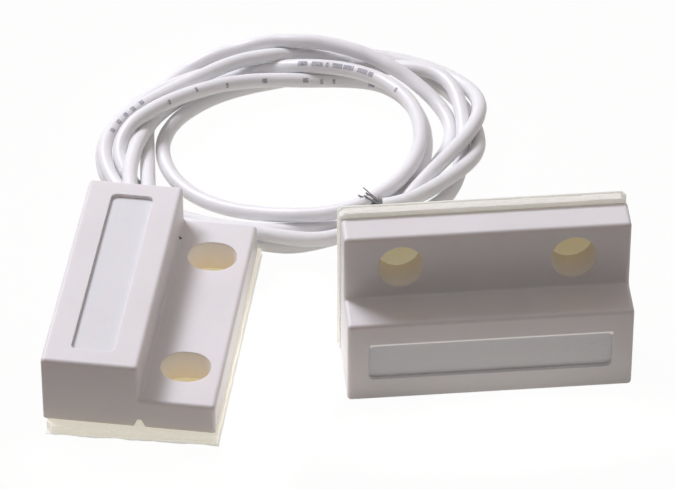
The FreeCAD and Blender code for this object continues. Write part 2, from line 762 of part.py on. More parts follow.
nodes = build()
doc.recompute()
for thing in doc.Objects:
    if any(word in thing.State for word in ("Invalid", "Error")):
        raise RuntimeError(f"{thing.Name} is in state {thing.State}")
os.makedirs("parts", exist_ok=True)
for node in nodes:
    if node.Shape.isNull() or not node.Shape.isValid() or len(node.Shape.Solids) != 1:
        raise RuntimeError(f"{node.Name} isn't one sound solid")
    node.Shape.exportStep(f"parts/{node.Name}.step")
    bounds = node.Shape.BoundBox
    print(
        f"{node.Name}: volume {node.Shape.Volume:.2f}",
        f"x {bounds.XMin:.2f} {bounds.XMax:.2f}",
        f"y {bounds.YMin:.2f} {bounds.YMax:.2f}",
        f"z {bounds.ZMin:.2f} {bounds.ZMax:.2f}",
    )
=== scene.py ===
"""Looks for a wired magnetic door contact: a switch half with two coiled leads, and a magnet half.

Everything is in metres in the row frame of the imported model: the origin is the middle of the
switch half's mounting face, +Y runs along its length, +X from its bar to its flange, +Z up.
Sizes in the classes below are in millimetres and angles in degrees, unless they say otherwise.
"""

from __future__ import annotations

import json
import logging
import math
from dataclasses import dataclass
from enum import Enum
from typing import Mapping, Protocol, Sequence

import bmesh
import bpy
import numpy as np
from mathutils import Matrix, Vector

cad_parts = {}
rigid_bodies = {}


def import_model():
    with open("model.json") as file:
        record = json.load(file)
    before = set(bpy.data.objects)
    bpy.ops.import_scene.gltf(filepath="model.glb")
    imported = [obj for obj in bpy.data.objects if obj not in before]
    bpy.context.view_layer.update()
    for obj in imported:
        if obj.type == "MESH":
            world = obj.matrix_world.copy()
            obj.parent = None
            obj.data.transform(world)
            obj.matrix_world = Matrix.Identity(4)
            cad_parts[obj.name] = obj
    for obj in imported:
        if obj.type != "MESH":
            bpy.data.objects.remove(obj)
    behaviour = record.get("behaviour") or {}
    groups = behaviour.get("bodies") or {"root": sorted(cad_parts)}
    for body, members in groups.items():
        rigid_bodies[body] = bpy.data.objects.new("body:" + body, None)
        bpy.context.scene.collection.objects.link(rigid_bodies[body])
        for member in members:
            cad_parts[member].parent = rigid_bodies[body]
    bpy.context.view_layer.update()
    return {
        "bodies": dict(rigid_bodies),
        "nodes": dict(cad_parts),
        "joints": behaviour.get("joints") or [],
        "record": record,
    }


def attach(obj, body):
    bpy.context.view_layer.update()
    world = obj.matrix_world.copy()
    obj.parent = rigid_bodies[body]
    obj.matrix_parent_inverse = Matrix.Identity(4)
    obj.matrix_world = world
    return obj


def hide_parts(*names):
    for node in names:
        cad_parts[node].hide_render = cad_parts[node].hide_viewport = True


LOG = logging.getLogger("door_contact")
MM = 0.001
BODY = "root"
UP = Vector((0.0, 0.0, 1.0))
BLACK = (0.0, 0.0, 0.0)
WHITE = (1.0, 1.0, 1.0)

Pair = tuple[float, float]
Point = tuple[float, float, float]
Colour = tuple[float, float, float]
Socket = bpy.types.NodeSocket
Value = float | bpy.types.NodeSocket


class Slot(str, Enum):
    """The record's material slots named for the new pieces, which are not assigned to them."""

    FOAM = "foam"
    LINER = "liner"
    JACKET = "jacket"
    CONDUCTOR = "conductor"


class Look(Enum):
    """The finishes of the object's pieces."""

    SWITCH_PLASTIC = "plastic of the switch half"
    MAGNET_PLASTIC = "plastic of the magnet half"
    SWITCH_FOAM = "foam under the switch half"
    MAGNET_FOAM = "foam behind the magnet half"
    PAPER = "release paper"
    VINYL = "insulation"
    INK = "print on the insulation"
    COPPER = "tinned strands"
    SOLDER = "solder"
    REED = "reed blades"
    GLASS = "reed capsule"
    RESIN = "potting"
    MAGNET = "bar magnet"


# The frames of both cases


@dataclass(frozen=True)
class CaseFrame:
    """Where a case's own frame lies: x from bar to flange, y along, z off the mounting face.

    Attributes:
        name: a word for the half.
        origin: the frame's origin in the row frame.
        axes: its three axes in the row frame.
    """

    name: str
    origin: Point
    axes: tuple[Point, Point, Point]

    def place(self, points: np.ndarray) -> np.ndarray:
        """Take points from the case's own frame to the row frame."""
        return np.array(self.origin) + points @ np.array(self.axes, float)


LINER_THICK = 0.1
SHEETS_THICK = 1.0  # foam tape and liner together
HALF_LENGTH = 13.5  # half the length of a case
HALF_WIDTH = 8.2  # half its width, from the bar's side to the flange's edge

MAGNET_TURN = math.radians(12.715)  # how far the magnet half is turned on the table
MAGNET_END = (44.418, 6.683)  # where the right end of its mounting face stands
MAGNET_ALONG = (-math.cos(MAGNET_TURN), -math.sin(MAGNET_TURN), 0.0)
MAGNET_FACE = (math.sin(MAGNET_TURN), -math.cos(MAGNET_TURN), 0.0)

SWITCH_FRAME = CaseFrame("switch", (0.0, 0.0, 0.0), ((1, 0, 0), (0, 1, 0), (0, 0, 1)))
MAGNET_FRAME = CaseFrame(
    name="magnet",
    origin=(
        MAGNET_END[0] + HALF_LENGTH * MAGNET_ALONG[0] - SHEETS_THICK * MAGNET_FACE[0],
        MAGNET_END[1] + HALF_LENGTH * MAGNET_ALONG[1] - SHEETS_THICK * MAGNET_FACE[1],
        HALF_WIDTH,
    ),
    axes=((0, 0, 1), MAGNET_ALONG, MAGNET_FACE),
)


# Node trees and the groups that several finishes share


@dataclass(frozen=True)
class Shade:
    """A colour laid over another where a mask says so.

    Attributes:
        colour: the colour.
        share: how much of it shows where the mask is full.
    """

    colour: Colour
    share: float = 1.0


class Graph:
    """A short way to write a node tree."""

    def __init__(self, tree: bpy.types.NodeTree) -> None:
        """Start with an empty tree.

        Args:
            tree: the tree to fill.
        """
        self.tree = tree
        self.tree.nodes.clear()

    def add(
        self, kind: str, settings: Mapping[str, object] | None = None, **inputs: object
    ) -> bpy.types.Node:
        """Add a node.

        Args:
            kind: the node's type without "ShaderNode".
            settings: attributes to set.
            **inputs: values or sockets for its inputs, by name with _ for a space, or _0, _1 by place.

        Returns:
            The node.
        """
        node = self.tree.nodes.new("ShaderNode" + kind)
        for key, value in (settings or {}).items():
            setattr(node, key, value)
        for key, value in inputs.items():
            socket = node.inputs[int(key[1:])] if key[1:].isdigit() else node.inputs[key.replace("_", " ")]
            if isinstance(value, Socket):
                self.tree.links.new(value, socket)
            else:
                socket.default_value = value
        return node

    def maths(self, operation: str, first: Value, second: Value = 0.0, clamp: bool = False) -> Socket:
        """Add a maths node and give its value."""
        return self.add("Math", {"operation": operation, "use_clamp": clamp}, _0=first, _1=second).outputs[0]

    def times(self, first: Value, second: Value) -> Socket:
        """Multiply two values."""
        return self.maths("MULTIPLY", first, second)

    def away_from(self, value: Value, middle: float) -> Socket:
        """Give how far a value lies from a middle, on either side."""
        return self.maths("ABSOLUTE", self.maths("SUBTRACT", value, middle))

    def above(self, value: Value, level: float) -> Socket:
        """Give 1 where a value is over a level, and 0 elsewhere."""
        return self.maths("GREATER_THAN", value, level)

    def vector(self, operation: str, first: Socket, second: Point) -> Socket:
        """Add a vector maths node and give its vector."""
        return self.add("VectorMath", {"operation": operation}, _0=first, _1=second).outputs["Vector"]

    def measure(self, operation: str, first: Socket, second: Point = (0.0, 0.0, 0.0)) -> Socket:
        """Add a vector maths node and give its number, such as a length."""
        return self.add("VectorMath", {"operation": operation}, _0=first, _1=second).outputs["Value"]

    def noise(self, vector: Socket, scale: Value, detail: float, roughness: float) -> Socket:
        """Add a noise texture and give its factor."""
        inputs = {"Vector": vector, "Scale": scale, "Detail": detail, "Roughness": roughness}
        return self.add("TexNoise", None, **inputs).outputs["Fac"]

    def cells(self, vector: Socket, size: float) -> Socket:
        """Add round cells of a size in mm and give the distance to the nearest middle."""
        inputs = {"Vector": vector, "Scale": 1 / (size * MM)}
        return self.add("TexVoronoi", {"feature": "F1"}, **inputs).outputs["Distance"]

    def remap(self, value: Socket, edge: Pair, goal: Pair) -> Socket:
        """Stretch a value smoothly from one range to another.

        Args:
            value: the value.
            edge: where the change starts and ends.
            goal: the values there.

        Returns:
            The new value.
        """
        inputs = {"_1": edge[0], "_2": edge[1], "_3": goal[0], "_4": goal[1]}
        return self.add("MapRange", {"interpolation_type": "SMOOTHSTEP"}, _0=value, **inputs).outputs[0]

    def rise(self, value: Socket, edge: Pair) -> Socket:
        """Go smoothly from 0 at the first number to 1 at the second."""
        return self.remap(value, edge, (0.0, 1.0))

    def fade(self, value: Socket, edge: Pair) -> Socket:
        """Go smoothly from 1 at the first number to 0 at the second."""
        return self.remap(value, edge, (1.0, 0.0))

    def blend(self, factor: Value, first: Socket | Colour, second: Socket | Colour) -> Socket:
        """Mix two colours.

        Args:
            factor: how much of the second one shows.
            first: the first colour.
            second: the second colour.

        Returns:
            The mixed colour.
        """
        node = self.add("Mix", {"data_type": "RGBA"}, _0=factor)
        for index, value in ((6, first), (7, second)):
            if isinstance(value, Socket):
                self.tree.links.new(value, node.inputs[index])
            else:
                node.inputs[index].default_value = (*value, 1.0)
        return node.outputs[2]

    def lay(self, base: Socket | Colour, shade: Shade, mask: Socket) -> Socket:
        """Lay a shade over a colour where the mask is."""
        return self.blend(self.times(mask, shade.share), base, shade.colour)

    def bump(self, height: Socket, relief: Pair, normal: Socket | None = None) -> Socket:
        """Turn a height into a normal.

        Args:
            height: the height.
            relief: its depth in mm, and the bump's strength.
            normal: a normal to start from.

        Returns:
            The new normal.
        """
        inputs = {"Height": height, "Distance": relief[0] * MM, "Strength": relief[1]}
        if normal is not None:
            inputs["Normal"] = normal
        return self.add("Bump", None, **inputs).outputs[0]


class SharedGroup(Graph):
    """A node group that several materials use."""

    def __init__(self, name: str, inputs: Mapping[str, str]) -> None:
        """Start the group.

        Args:
            name: the group's name.
            inputs: types of its input sockets by name.
        """
        super().__init__(bpy.data.node_groups.new(name, "ShaderNodeTree"))
        for key, kind in inputs.items():
            self.tree.interface.new_socket(name=key, in_out="INPUT", socket_type="NodeSocket" + kind)
        self.source = self.tree.nodes.new("NodeGroupInput")

    def put_out(self, **masks: Socket) -> bpy.types.NodeTree:
        """Give the group its outputs.

        Args:
            **masks: the value of each output, by name with _ for a space.

        Returns:
            The finished group.
        """
        for key in masks:
            name = key.replace("_", " ")
            self.tree.interface.new_socket(name=name, in_out="OUTPUT", socket_type="NodeSocketFloat")
        target = self.tree.nodes.new("NodeGroupOutput")
        for key, mask in masks.items():
            self.tree.links.new(mask, target.inputs[key.replace("_", " ")])
        return self.tree


@dataclass(frozen=True)
class SurfaceLife:
    """The shared group of surface life: a broad cloud, a fine grain and smudges.

    Attributes:
        cloud: detail and roughness of the cloud's noise.
        grain: the same of the grain's.
        smudge: the same of the smudges'.
        smudge_scale: the smudges' scale as a share of the cloud's.
        smudge_shift: keeps the smudges off the cloud's own places, in metres.
        cloud_edge: values of its noise that become 0 and 1.
        smudge_edge: the same for the smudges.
    """

    cloud: Pair = (3.0, 0.55)
    grain: Pair = (2.0, 0.6)
    smudge: Pair = (6.0, 0.62)
    smudge_scale: float = 0.7
    smudge_shift: Point = (0.37, 0.11, 0.05)
    cloud_edge: Pair = (0.25, 0.75)
    smudge_edge: Pair = (0.56, 0.74)

    def build(self) -> bpy.types.NodeTree:
        """Build the group, whose two sizes are given in mm.

        Returns:
            The group.
        """
        group = SharedGroup("surface_life", {"Vector": "Vector", "Cloud mm": "Float", "Grain mm": "Float"})
        vector = group.source.outputs["Vector"]
        cloud_scale = group.maths("DIVIDE", 1 / MM, group.source.outputs["Cloud mm"])
        grain_scale = group.maths("DIVIDE", 1 / MM, group.source.outputs["Grain mm"])
        cloud = group.noise(vector, cloud_scale, *self.cloud)
        grain = group.noise(vector, grain_scale, *self.grain)
        shifted = group.vector("ADD", vector, self.smudge_shift)
        smudge = group.noise(shifted, group.times(cloud_scale, self.smudge_scale), *self.smudge)
        return group.put_out(
            Cloud=group.rise(cloud, self.cloud_edge),
            Grain=grain,
            Smudge=group.rise(smudge, self.smudge_edge),
        )


@dataclass(frozen=True)
class CaseZones:
    """The shared masks of a case: its screw slots with their sides, its label recess and the band beside the
    recess where a painted highlight glows.

    Attributes:
        slot_middle: the slots' place across the case.
        slot_straight: half the straight stretch of a slot.
        slot_along: how far each slot lies from the case's middle.
        slot_edge: from full to no mask, off the slot's middle line.
        flange_top: from full to no mask of the slots' sides, in height.
        slot_bottom: the height at which a slot's wall starts.
        recess_middle: the middle of the label recess.
        recess_half: half its sizes.
        recess_soft: half the width of its soft edge.
        recess_level: a height between the flange and the recess's floor.
        lip_place: where the band of painted highlight beside the recess lies across the case.
        lip_edge: from full to no mask, off that line.
    """

    slot_middle: float = 4.6
    slot_straight: float = 0.3
    slot_along: float = 8.15
    slot_edge: Pair = (2.2, 2.9)
    flange_top: Pair = (3.9, 4.15)
    slot_bottom: float = 0.8
    recess_middle: Pair = (-3.685, -0.1)
    recess_half: Pair = (2.0, 11.45)
    recess_soft: float = 0.05
    recess_level: float = 7.5
    lip_place: float = -1.55
    lip_edge: Pair = (0.08, 0.24)

    def build(self) -> bpy.types.NodeTree:
        """Build the group, which takes a place in the case's own frame, in mm.

        Returns:
            The group.
        """
        group = SharedGroup("case_zones", {"Place": "Vector"})
        x, y, z = group.add("SeparateXYZ", None, Vector=group.source.outputs["Place"]).outputs
        past_straight = group.maths("SUBTRACT", group.away_from(x, self.slot_middle), self.slot_straight)
        across = group.maths("MAXIMUM", past_straight, 0.0)
        along = group.away_from(group.maths("ABSOLUTE", y), self.slot_along)
        squares = group.maths("ADD", group.maths("POWER", across, 2.0), group.maths("POWER", along, 2.0))
        slot = group.fade(group.maths("SQRT", squares), self.slot_edge)
        wall = group.times(slot, group.fade(z, self.flange_top))
        depth = group.fade(z, (self.slot_bottom, self.flange_top[0]))
        side, end = (
            group.fade(group.away_from(axis, middle), (half - self.recess_soft, half + self.recess_soft))
            for axis, middle, half in zip((x, y), self.recess_middle, self.recess_half)
        )
        on_bar = group.times(end, group.above(z, self.recess_level))
        # Band of the painted highlight beside the recess.
        lip_glow = group.fade(group.away_from(x, self.lip_place), self.lip_edge)
        return group.put_out(
            Slot=slot,
            Slot_wall=wall,
            Slot_depth=depth,
            Recess=group.times(side, on_bar),
            Lip=group.times(lip_glow, on_bar),
        )


@dataclass(frozen=True)
class SharedGroups:
    """The groups that the finishes use."""

    life: bpy.types.NodeTree
    zones: bpy.types.NodeTree


# Finishes


class Surface:
    """A material in the making: a Principled shader on Object coordinates, with the shared surface life."""

    def __init__(self, name: str, groups: SharedGroups, cloud: float, grain: float) -> None:
        """Start a material.

        Args:
            name: the material's name.
            groups: the shared groups.
            cloud: size of the broad colour clouds, in mm.
            grain: size of the fine grain, in mm.
        """
        self.material = bpy.data.materials.new(name)
        self.material.use_nodes = True
        self.groups = groups
        self.graph = Graph(self.material.node_tree)
        self.vector = self.graph.add("TexCoord").outputs["Object"]
        sizes = {"Cloud_mm": cloud, "Grain_mm": grain}
        life = self.graph.add("Group", {"node_tree": groups.life}, Vector=self.vector, **sizes)
        self.cloud, self.grain, self.smudge = (life.outputs[key] for key in ("Cloud", "Grain", "Smudge"))
        self.shader = self.graph.add("BsdfPrincipled")
        self.output = self.graph.add("OutputMaterial", None, Surface=self.shader.outputs[0])

    def zones(self, frame: CaseFrame) -> Mapping[str, Socket]:
        """Add a case's masks.

        Args:
            frame: the case's own frame.

        Returns:
            The masks by name.
        """
        moved = self.graph.vector("SUBTRACT", self.vector, tuple(value * MM for value in frame.origin))
        axes = [tuple(value / MM for value in axis) for axis in frame.axes]
        x, y, z = (self.graph.measure("DOT_PRODUCT", moved, axis) for axis in axes)
        place = self.graph.add("CombineXYZ", None, X=x, Y=y, Z=z).outputs[0]
        return self.graph.add("Group", {"node_tree": self.groups.zones}, Place=place).outputs

    def roughness(self, base: float, *shares: tuple[Socket, float]) -> Socket:
        """Add shares of masks to a plain roughness.

        Args:
            base: the plain roughness.
            *shares: each mask with how much it adds where it is full.

        Returns:
            The roughness.
        """
        total: Value = base
        for mask, share in shares:
            total = self.graph.maths("ADD", self.graph.times(mask, share), total, True)
        return total

    def set(self, **inputs: object) -> None:
        """Set the shader's inputs.

        Args:
            **inputs: values, colours or sockets, by name with _ for a space.
        """
        for key, value in inputs.items():
            socket = self.shader.inputs[key.replace("_", " ")]
            if isinstance(value, Socket):
                self.graph.tree.links.new(value, socket)
            elif socket.type == "RGBA":
                socket.default_value = (*value, 1.0)
            else:
                socket.default_value = value

    def let_through(self, share: float, **inputs: object) -> None:
        """Let some light through the piece.

        Args:
            share: how much of it.
            **inputs: the translucent shader's inputs.
        """
        through = self.graph.add("BsdfTranslucent", None, **inputs)
        both = self.graph.add("MixShader", None, _0=share, _1=self.shader.outputs[0], _2=through.outputs[0])
        self.graph.tree.links.new(both.outputs[0], self.output.inputs["Surface"])


class Finish(Protocol):
    """A finish that can make its material."""

    def make(self, groups: SharedGroups) -> bpy.types.Material:
        """Make the material."""


@dataclass(frozen=True)
class CasePlastic:
    """Moulded white plastic of a case: satin, a little translucent, faintly stained.

    The screw slots' sides carry painted warm bounce light from the foam below them, and the recess is moulded
    smoother and tinted cooler as a painted reflection.

    Attributes:
        frame: the case's own frame.
        lip_glow: the strength of the painted highlight, an emission on the band beside the recess that stands
            in for the table's light caught by a thin rim there.
        shades: its two colours.
        stain: the colour of its smudges.
        recess: a cooler tint on the smoother recess, a painted reflection of the surround.
        walls: the painted warm bounce light on the slots' sides, as colours at the flange's top and at the
            foam.
        wall_bounce_share: how much of that painted bounce light shows.
        speck: the dark speck at the step.
        speck_place: where it lies.
        speck_edge: its inner and outer radius.
        flow: scale, distortion, detail and detail scale of the moulding's flow lines.
        flow_relief: their depth in mm, and their strength.
        grain_relief: the same of the grain.
        round_edge: radius of the edges' softened shading.
    """

    frame: CaseFrame
    lip_glow: float
    shades: tuple[Colour, Colour] = ((0.775, 0.755, 0.76), (0.81, 0.79, 0.80))
    stain: Shade = Shade((0.66, 0.62, 0.60), 0.18)
    recess: Shade = Shade((0.765, 0.775, 0.80), 0.8)
    walls: tuple[Colour, Colour] = ((0.95, 0.92, 0.90), (0.96, 0.87, 0.78))
    wall_bounce_share: float = 0.9
    speck: Shade = Shade((0.03, 0.025, 0.03))
    speck_place: Point = (1.12, 10.4, 4.3)
    speck_edge: Pair = (0.10, 0.26)
    flow: tuple[float, float, float, float] = (60.0, 9.0, 2.0, 1.5)
    flow_relief: Pair = (0.004, 0.3)
    grain_relief: Pair = (0.012, 0.3)
    round_edge: float = 0.12

    def tint(self, surface: Surface, masks: Mapping[str, Socket]) -> Socket:
        """Mix the colour.

        Args:
            surface: the material in the making.
            masks: the case's masks.

        Returns:
            The colour.
        """
        graph = surface.graph
        tint = graph.blend(surface.cloud, *self.shades)
        tint = graph.lay(tint, self.stain, surface.smudge)
        # Painted reflection: the smoother recess is tinted cooler and bluer.
        tint = graph.lay(tint, self.recess, masks["Recess"])
        # Painted bounce light: the slots' sides take the foam's warm colour, warmer towards the foam.
        walls = graph.blend(masks["Slot depth"], *self.walls)
        tint = graph.blend(graph.times(masks["Slot wall"], self.wall_bounce_share), tint, walls)
        speck_place = tuple(value * MM for value in self.speck_place)
        from_speck = graph.measure("DISTANCE", surface.vector, speck_place)
        edge = (self.speck_edge[0] * MM, self.speck_edge[1] * MM)
        return graph.lay(tint, self.speck, graph.fade(from_speck, edge))

    def make(self, groups: SharedGroups) -> bpy.types.Material:
        """Make the material.

        Args:
            groups: the shared groups.

        Returns:
            The material.
        """
        surface = Surface("white_plastic_" + self.frame.name, groups, cloud=9.0, grain=0.16)
        graph = surface.graph
        masks = surface.zones(self.frame)
        flow = dict(zip(("Scale", "Distortion", "Detail", "Detail_Scale"), self.flow))
        bands = graph.add("TexWave", {"bands_direction": "Y"}, Vector=surface.vector, **flow).outputs["Fac"]
        soft = graph.add("Bevel", {"samples": 6}, Radius=self.round_edge * MM).outputs[0]
        normal = graph.bump(bands, self.flow_relief, soft)
        grain, cloud, recess = (surface.grain, 0.14), (surface.cloud, 0.08), (masks["Recess"], -0.10)
        surface.set(
            Base_Color=self.tint(surface, masks),
            Roughness=surface.roughness(0.30, grain, cloud, recess),
            Normal=graph.bump(surface.grain, self.grain_relief, normal),
            IOR=1.49,
            Specular_IOR_Level=0.45,
            Subsurface_Weight=0.22,
            Subsurface_Radius=(1.0, 0.60, 0.42),
            Subsurface_Scale=1.1 * MM,
            # Painted highlight: the band beside the recess glows by emission, as strong as lip_glow.
            Emission_Color=graph.blend(masks["Lip"], BLACK, (self.lip_glow,) * 3),
            Emission_Strength=1.0,
        )
        return surface.material


@dataclass(frozen=True)
class Vinyl:
    """Soft white insulation of the leads.

    Attributes:
        shades: its two colours.
        dirt: the colour of its smudges.
        draw_size: size of the waves that drawing the wire left.
        draw_relief: their depth in mm, and their strength.
        grain_relief: the same of the grain.
    """

    shades: tuple[Colour, Colour] = ((0.83, 0.835, 0.85), (0.87, 0.875, 0.89))
    dirt: Shade = Shade((0.62, 0.62, 0.61), 0.3)
    draw_size: float = 1.6
    draw_relief: Pair = (0.05, 0.25)
    grain_relief: Pair = (0.012, 0.3)

    def make(self, groups: SharedGroups) -> bpy.types.Material:
        """Make the material.

        Args:
            groups: the shared groups.

        Returns:
            The material.
        """
        surface = Surface("white_vinyl_insulation", groups, cloud=7.0, grain=0.22)
        graph = surface.graph
        drawn = graph.noise(surface.vector, 1 / (self.draw_size * MM), 3.0, 0.5)
        normal = graph.bump(drawn, self.draw_relief)
        surface.set(
            Base_Color=graph.lay(graph.blend(surface.cloud, *self.shades), self.dirt, surface.smudge),
            Roughness=surface.roughness(0.32, (surface.grain, 0.10), (surface.smudge, 0.12)),
            Normal=graph.bump(surface.grain, self.grain_relief, normal),
            IOR=1.52,
            Specular_IOR_Level=0.45,
            Subsurface_Weight=0.35,
            Subsurface_Radius=(1.0, 0.92, 0.95),
            Subsurface_Scale=0.8 * MM,
        )
        return surface.material


@dataclass(frozen=True)
class Foam:
    """Pale foam tape with fine open cells, which lets light through and glows with painted light, and yellow
    glue in the screw slots.

    Attributes:
        frame: the frame of the case that the tape is on.
        shine: the strength of its painted glow, an emission that stands in for the table's light coming
            through it.
        shades: its two colours.
        pit: the painted shade in the pits between its cells.
        dirt: the colour of its smudges.
        glue: the colour of the glue.
        glows: the colours of the painted glow on the cells and in the pits.
        glue_glow: the colour of the painted glow in the glue.
        through: the colour of light that passes.
        cell: size of a cell.
        pit_edge: from cell to pit, in cell sizes.
        pit_depth: how deep a pit is beside the grain.
        relief: the surface's depth in mm, and its strength.
    """

    frame: CaseFrame
    shine: float
    shades: tuple[Colour, Colour] = ((0.92, 0.915, 0.91), (0.95, 0.945, 0.945))
    pit: Shade = Shade((0.85, 0.83, 0.79), 0.22)
    dirt: Shade = Shade((0.80, 0.77, 0.70), 0.2)
    glue: Shade = Shade((0.85, 0.75, 0.48))
    glows: tuple[Colour, Colour] = ((1.0, 0.98, 0.89), (0.93, 0.88, 0.70))
    glue_glow: Shade = Shade((0.66, 0.58, 0.33))
    through: Colour = (0.95, 0.9425, 0.91)
    cell: float = 0.17
    pit_edge: Pair = (0.15, 0.62)
    pit_depth: float = 0.7
    relief: Pair = (0.05, 0.6)

    def make(self, groups: SharedGroups) -> bpy.types.Material:
        """Make the material.

        Args:
            groups: the shared groups.

        Returns:
            The material.
        """
        surface = Surface("pale_foam_" + self.frame.name, groups, cloud=3.0, grain=0.14)
        graph = surface.graph
        in_slot = surface.zones(self.frame)["Slot"]
        pits = graph.rise(graph.cells(surface.vector, self.cell), self.pit_edge)
        # Painted shade: the pits between the cells are darker.
        tint = graph.lay(graph.blend(surface.cloud, *self.shades), self.pit, pits)
        tint = graph.lay(graph.lay(tint, self.dirt, surface.smudge), self.glue, in_slot)
        # Painted glow: emission on the cells, dimmer and yellower in the pits, and warmer in the glue.
        glow = graph.lay(graph.blend(pits, *self.glows), self.glue_glow, in_slot)
        height = graph.maths("SUBTRACT", surface.grain, graph.times(pits, self.pit_depth))
        normal = graph.bump(height, self.relief)
        surface.set(
            Base_Color=tint,
            Roughness=0.88,
            Normal=normal,
            Specular_IOR_Level=0.2,
            Emission_Color=glow,
            Emission_Strength=self.shine,
        )
        surface.let_through(0.30, Color=(*self.through, 1.0), Normal=normal)
        return surface.material


@dataclass(frozen=True)
class ReleasePaper:
    """Thin pale release paper, which lets some of the table's light through and glows faintly with painted
    light.

    Attributes:
        shades: its two colours.
        fibre: the colour of its fibres.
        through: the colour of light that passes.
        relief: the fibres' depth in mm, and their strength.
    """

    shades: tuple[Colour, Colour] = ((0.86, 0.865, 0.84), (0.92, 0.92, 0.90))
    fibre: Shade = Shade((0.72, 0.73, 0.69), 0.4)
    through: Colour = (0.92, 0.92, 0.90)
    relief: Pair = (0.02, 0.3)

    def make(self, groups: SharedGroups) -> bpy.types.Material:
        """Make the material.

        Args:
            groups: the shared groups.

        Returns:
            The material.
        """
        surface = Surface("release_paper", groups, cloud=4.0, grain=0.3)
        graph = surface.graph
        inputs = {"Scale": 900.0, "Detail": 5.0, "Roughness": 0.7, "Distortion": 1.2}
        fibres = graph.add("TexNoise", None, Vector=surface.vector, **inputs).outputs["Fac"]
        tint = graph.lay(graph.blend(surface.cloud, *self.shades), self.fibre, fibres)
        surface.set(
            Base_Color=tint,
            Roughness=0.42,
            Normal=graph.bump(fibres, self.relief),
            Coat_Weight=0.25,
            Coat_Roughness=0.3,
            # Painted glow: the paper faintly emits its own colour.
            Emission_Color=tint,
            Emission_Strength=0.20,
        )
        surface.let_through(0.35, Color=(*self.through, 1.0))
        return surface.material


@dataclass(frozen=True)
class Metal:
    """A metal with patches of tarnish and fine scratches.

    Attributes:
        name: the material's name.
        dark: its darker colour.
        light: its lighter colour.
        rough: its plain roughness.
        grain: size of its grain.
        relief: the grain's depth.
        tarnish: the tarnish's colour as a share of the darker one, and how much of it shows.
    """

    name: str
    dark: Colour
    light: Colour
    rough: float
    grain: float
    relief: float
    tarnish: Pair = (0.6, 0.4)

    def make(self, groups: SharedGroups) -> bpy.types.Material:
        """Make the material.

        Args:
            groups: the shared groups.

        Returns:
            The material.
        """
        surface = Surface(self.name, groups, cloud=1.6, grain=self.grain)
        graph = surface.graph
        tarnish = Shade(tuple(self.tarnish[0] * value for value in self.dark), self.tarnish[1])
        surface.set(
            Base_Color=graph.lay(graph.blend(surface.cloud, self.dark, self.light), tarnish, surface.smudge),
            Metallic=1.0,
            Roughness=surface.roughness(self.rough, (surface.grain, 0.18)),
            Normal=graph.bump(surface.grain, (self.relief, 0.5)),
        )
        return surface.material


@dataclass(frozen=True)
class CapsuleGlass:
    """Faintly green glass of the reed capsule.

    Attributes:
        shades: its two colours.
        relief: the grain's depth in mm, and its strength.
    """

    shades: tuple[Colour, Colour] = ((0.80, 0.93, 0.86), (0.90, 0.97, 0.93))
    relief: Pair = (0.004, 0.2)

    def make(self, groups: SharedGroups) -> bpy.types.Material:
        """Make the material.

        Args:
            groups: the shared groups.

        Returns:
            The material.
        """
        surface = Surface("capsule_glass", groups, cloud=2.5, grain=0.5)
        surface.set(
            Base_Color=surface.graph.blend(surface.cloud, *self.shades),
            Roughness=surface.roughness(0.0, (surface.smudge, 0.12)),
            Transmission_Weight=0.92,
            IOR=1.48,
            Normal=surface.graph.bump(surface.grain, self.relief),
        )
        return surface.material


@dataclass(frozen=True)
class Resin:
    """Poured resin with tiny bubbles.

    Attributes:
        shades: its two colours.
        bubble: the painted shade in its bubbles.
        cell: size of the cells that hold one bubble each.
        bubble_edge: from bubble to resin, in cell sizes.
        relief: the surface's depth in mm, and its strength.
    """

    shades: tuple[Colour, Colour] = ((0.62, 0.60, 0.52), (0.70, 0.68, 0.60))
    bubble: Shade = Shade((0.45, 0.42, 0.34), 0.5)
    cell: float = 0.8
    bubble_edge: Pair = (0.10, 0.22)
    relief: Pair = (0.03, 0.4)

    def make(self, groups: SharedGroups) -> bpy.types.Material:
        """Make the material.

        Args:
            groups: the shared groups.

        Returns:
            The material.
        """
        surface = Surface("potting_resin", groups, cloud=4.0, grain=0.3)
        graph = surface.graph
        bubbles = graph.fade(graph.cells(surface.vector, self.cell), self.bubble_edge)
        surface.set(
            # Painted shade: the bubbles are darker.
            Base_Color=graph.lay(graph.blend(surface.cloud, *self.shades), self.bubble, bubbles),
            Roughness=0.30,
            Normal=graph.bump(graph.maths("SUBTRACT", surface.grain, bubbles), self.relief),
            Subsurface_Weight=0.15,
            Subsurface_Scale=1.0 * MM,
        )
        return surface.material


@dataclass(frozen=True)
class WornInk:
    """Worn grey ink of the plain ticks along a lead.

    Attributes:
        ink: the ink's colour.
        bare: the colour where it is worn.
        wear_edge: the grain's values between which it wears off.
        relief: the grain's depth in mm, and its strength.
    """

    ink: Colour = (0.33, 0.33, 0.37)
    bare: Shade = Shade((0.74, 0.73, 0.77), 0.8)
    wear_edge: Pair = (0.44, 0.66)
    relief: Pair = (0.004, 0.3)

    def make(self, groups: SharedGroups) -> bpy.types.Material:
        """Make the material.

        Args:
            groups: the shared groups.

        Returns:
            The material.
        """
        surface = Surface("worn_ink", groups, cloud=0.9, grain=0.12)
        graph = surface.graph
        surface.set(
            Base_Color=graph.lay(self.ink, self.bare, graph.rise(surface.grain, self.wear_edge)),
            Roughness=surface.roughness(0.5, (surface.grain, 0.3)),
            Normal=graph.bump(surface.grain, self.relief),
        )
        return surface.material


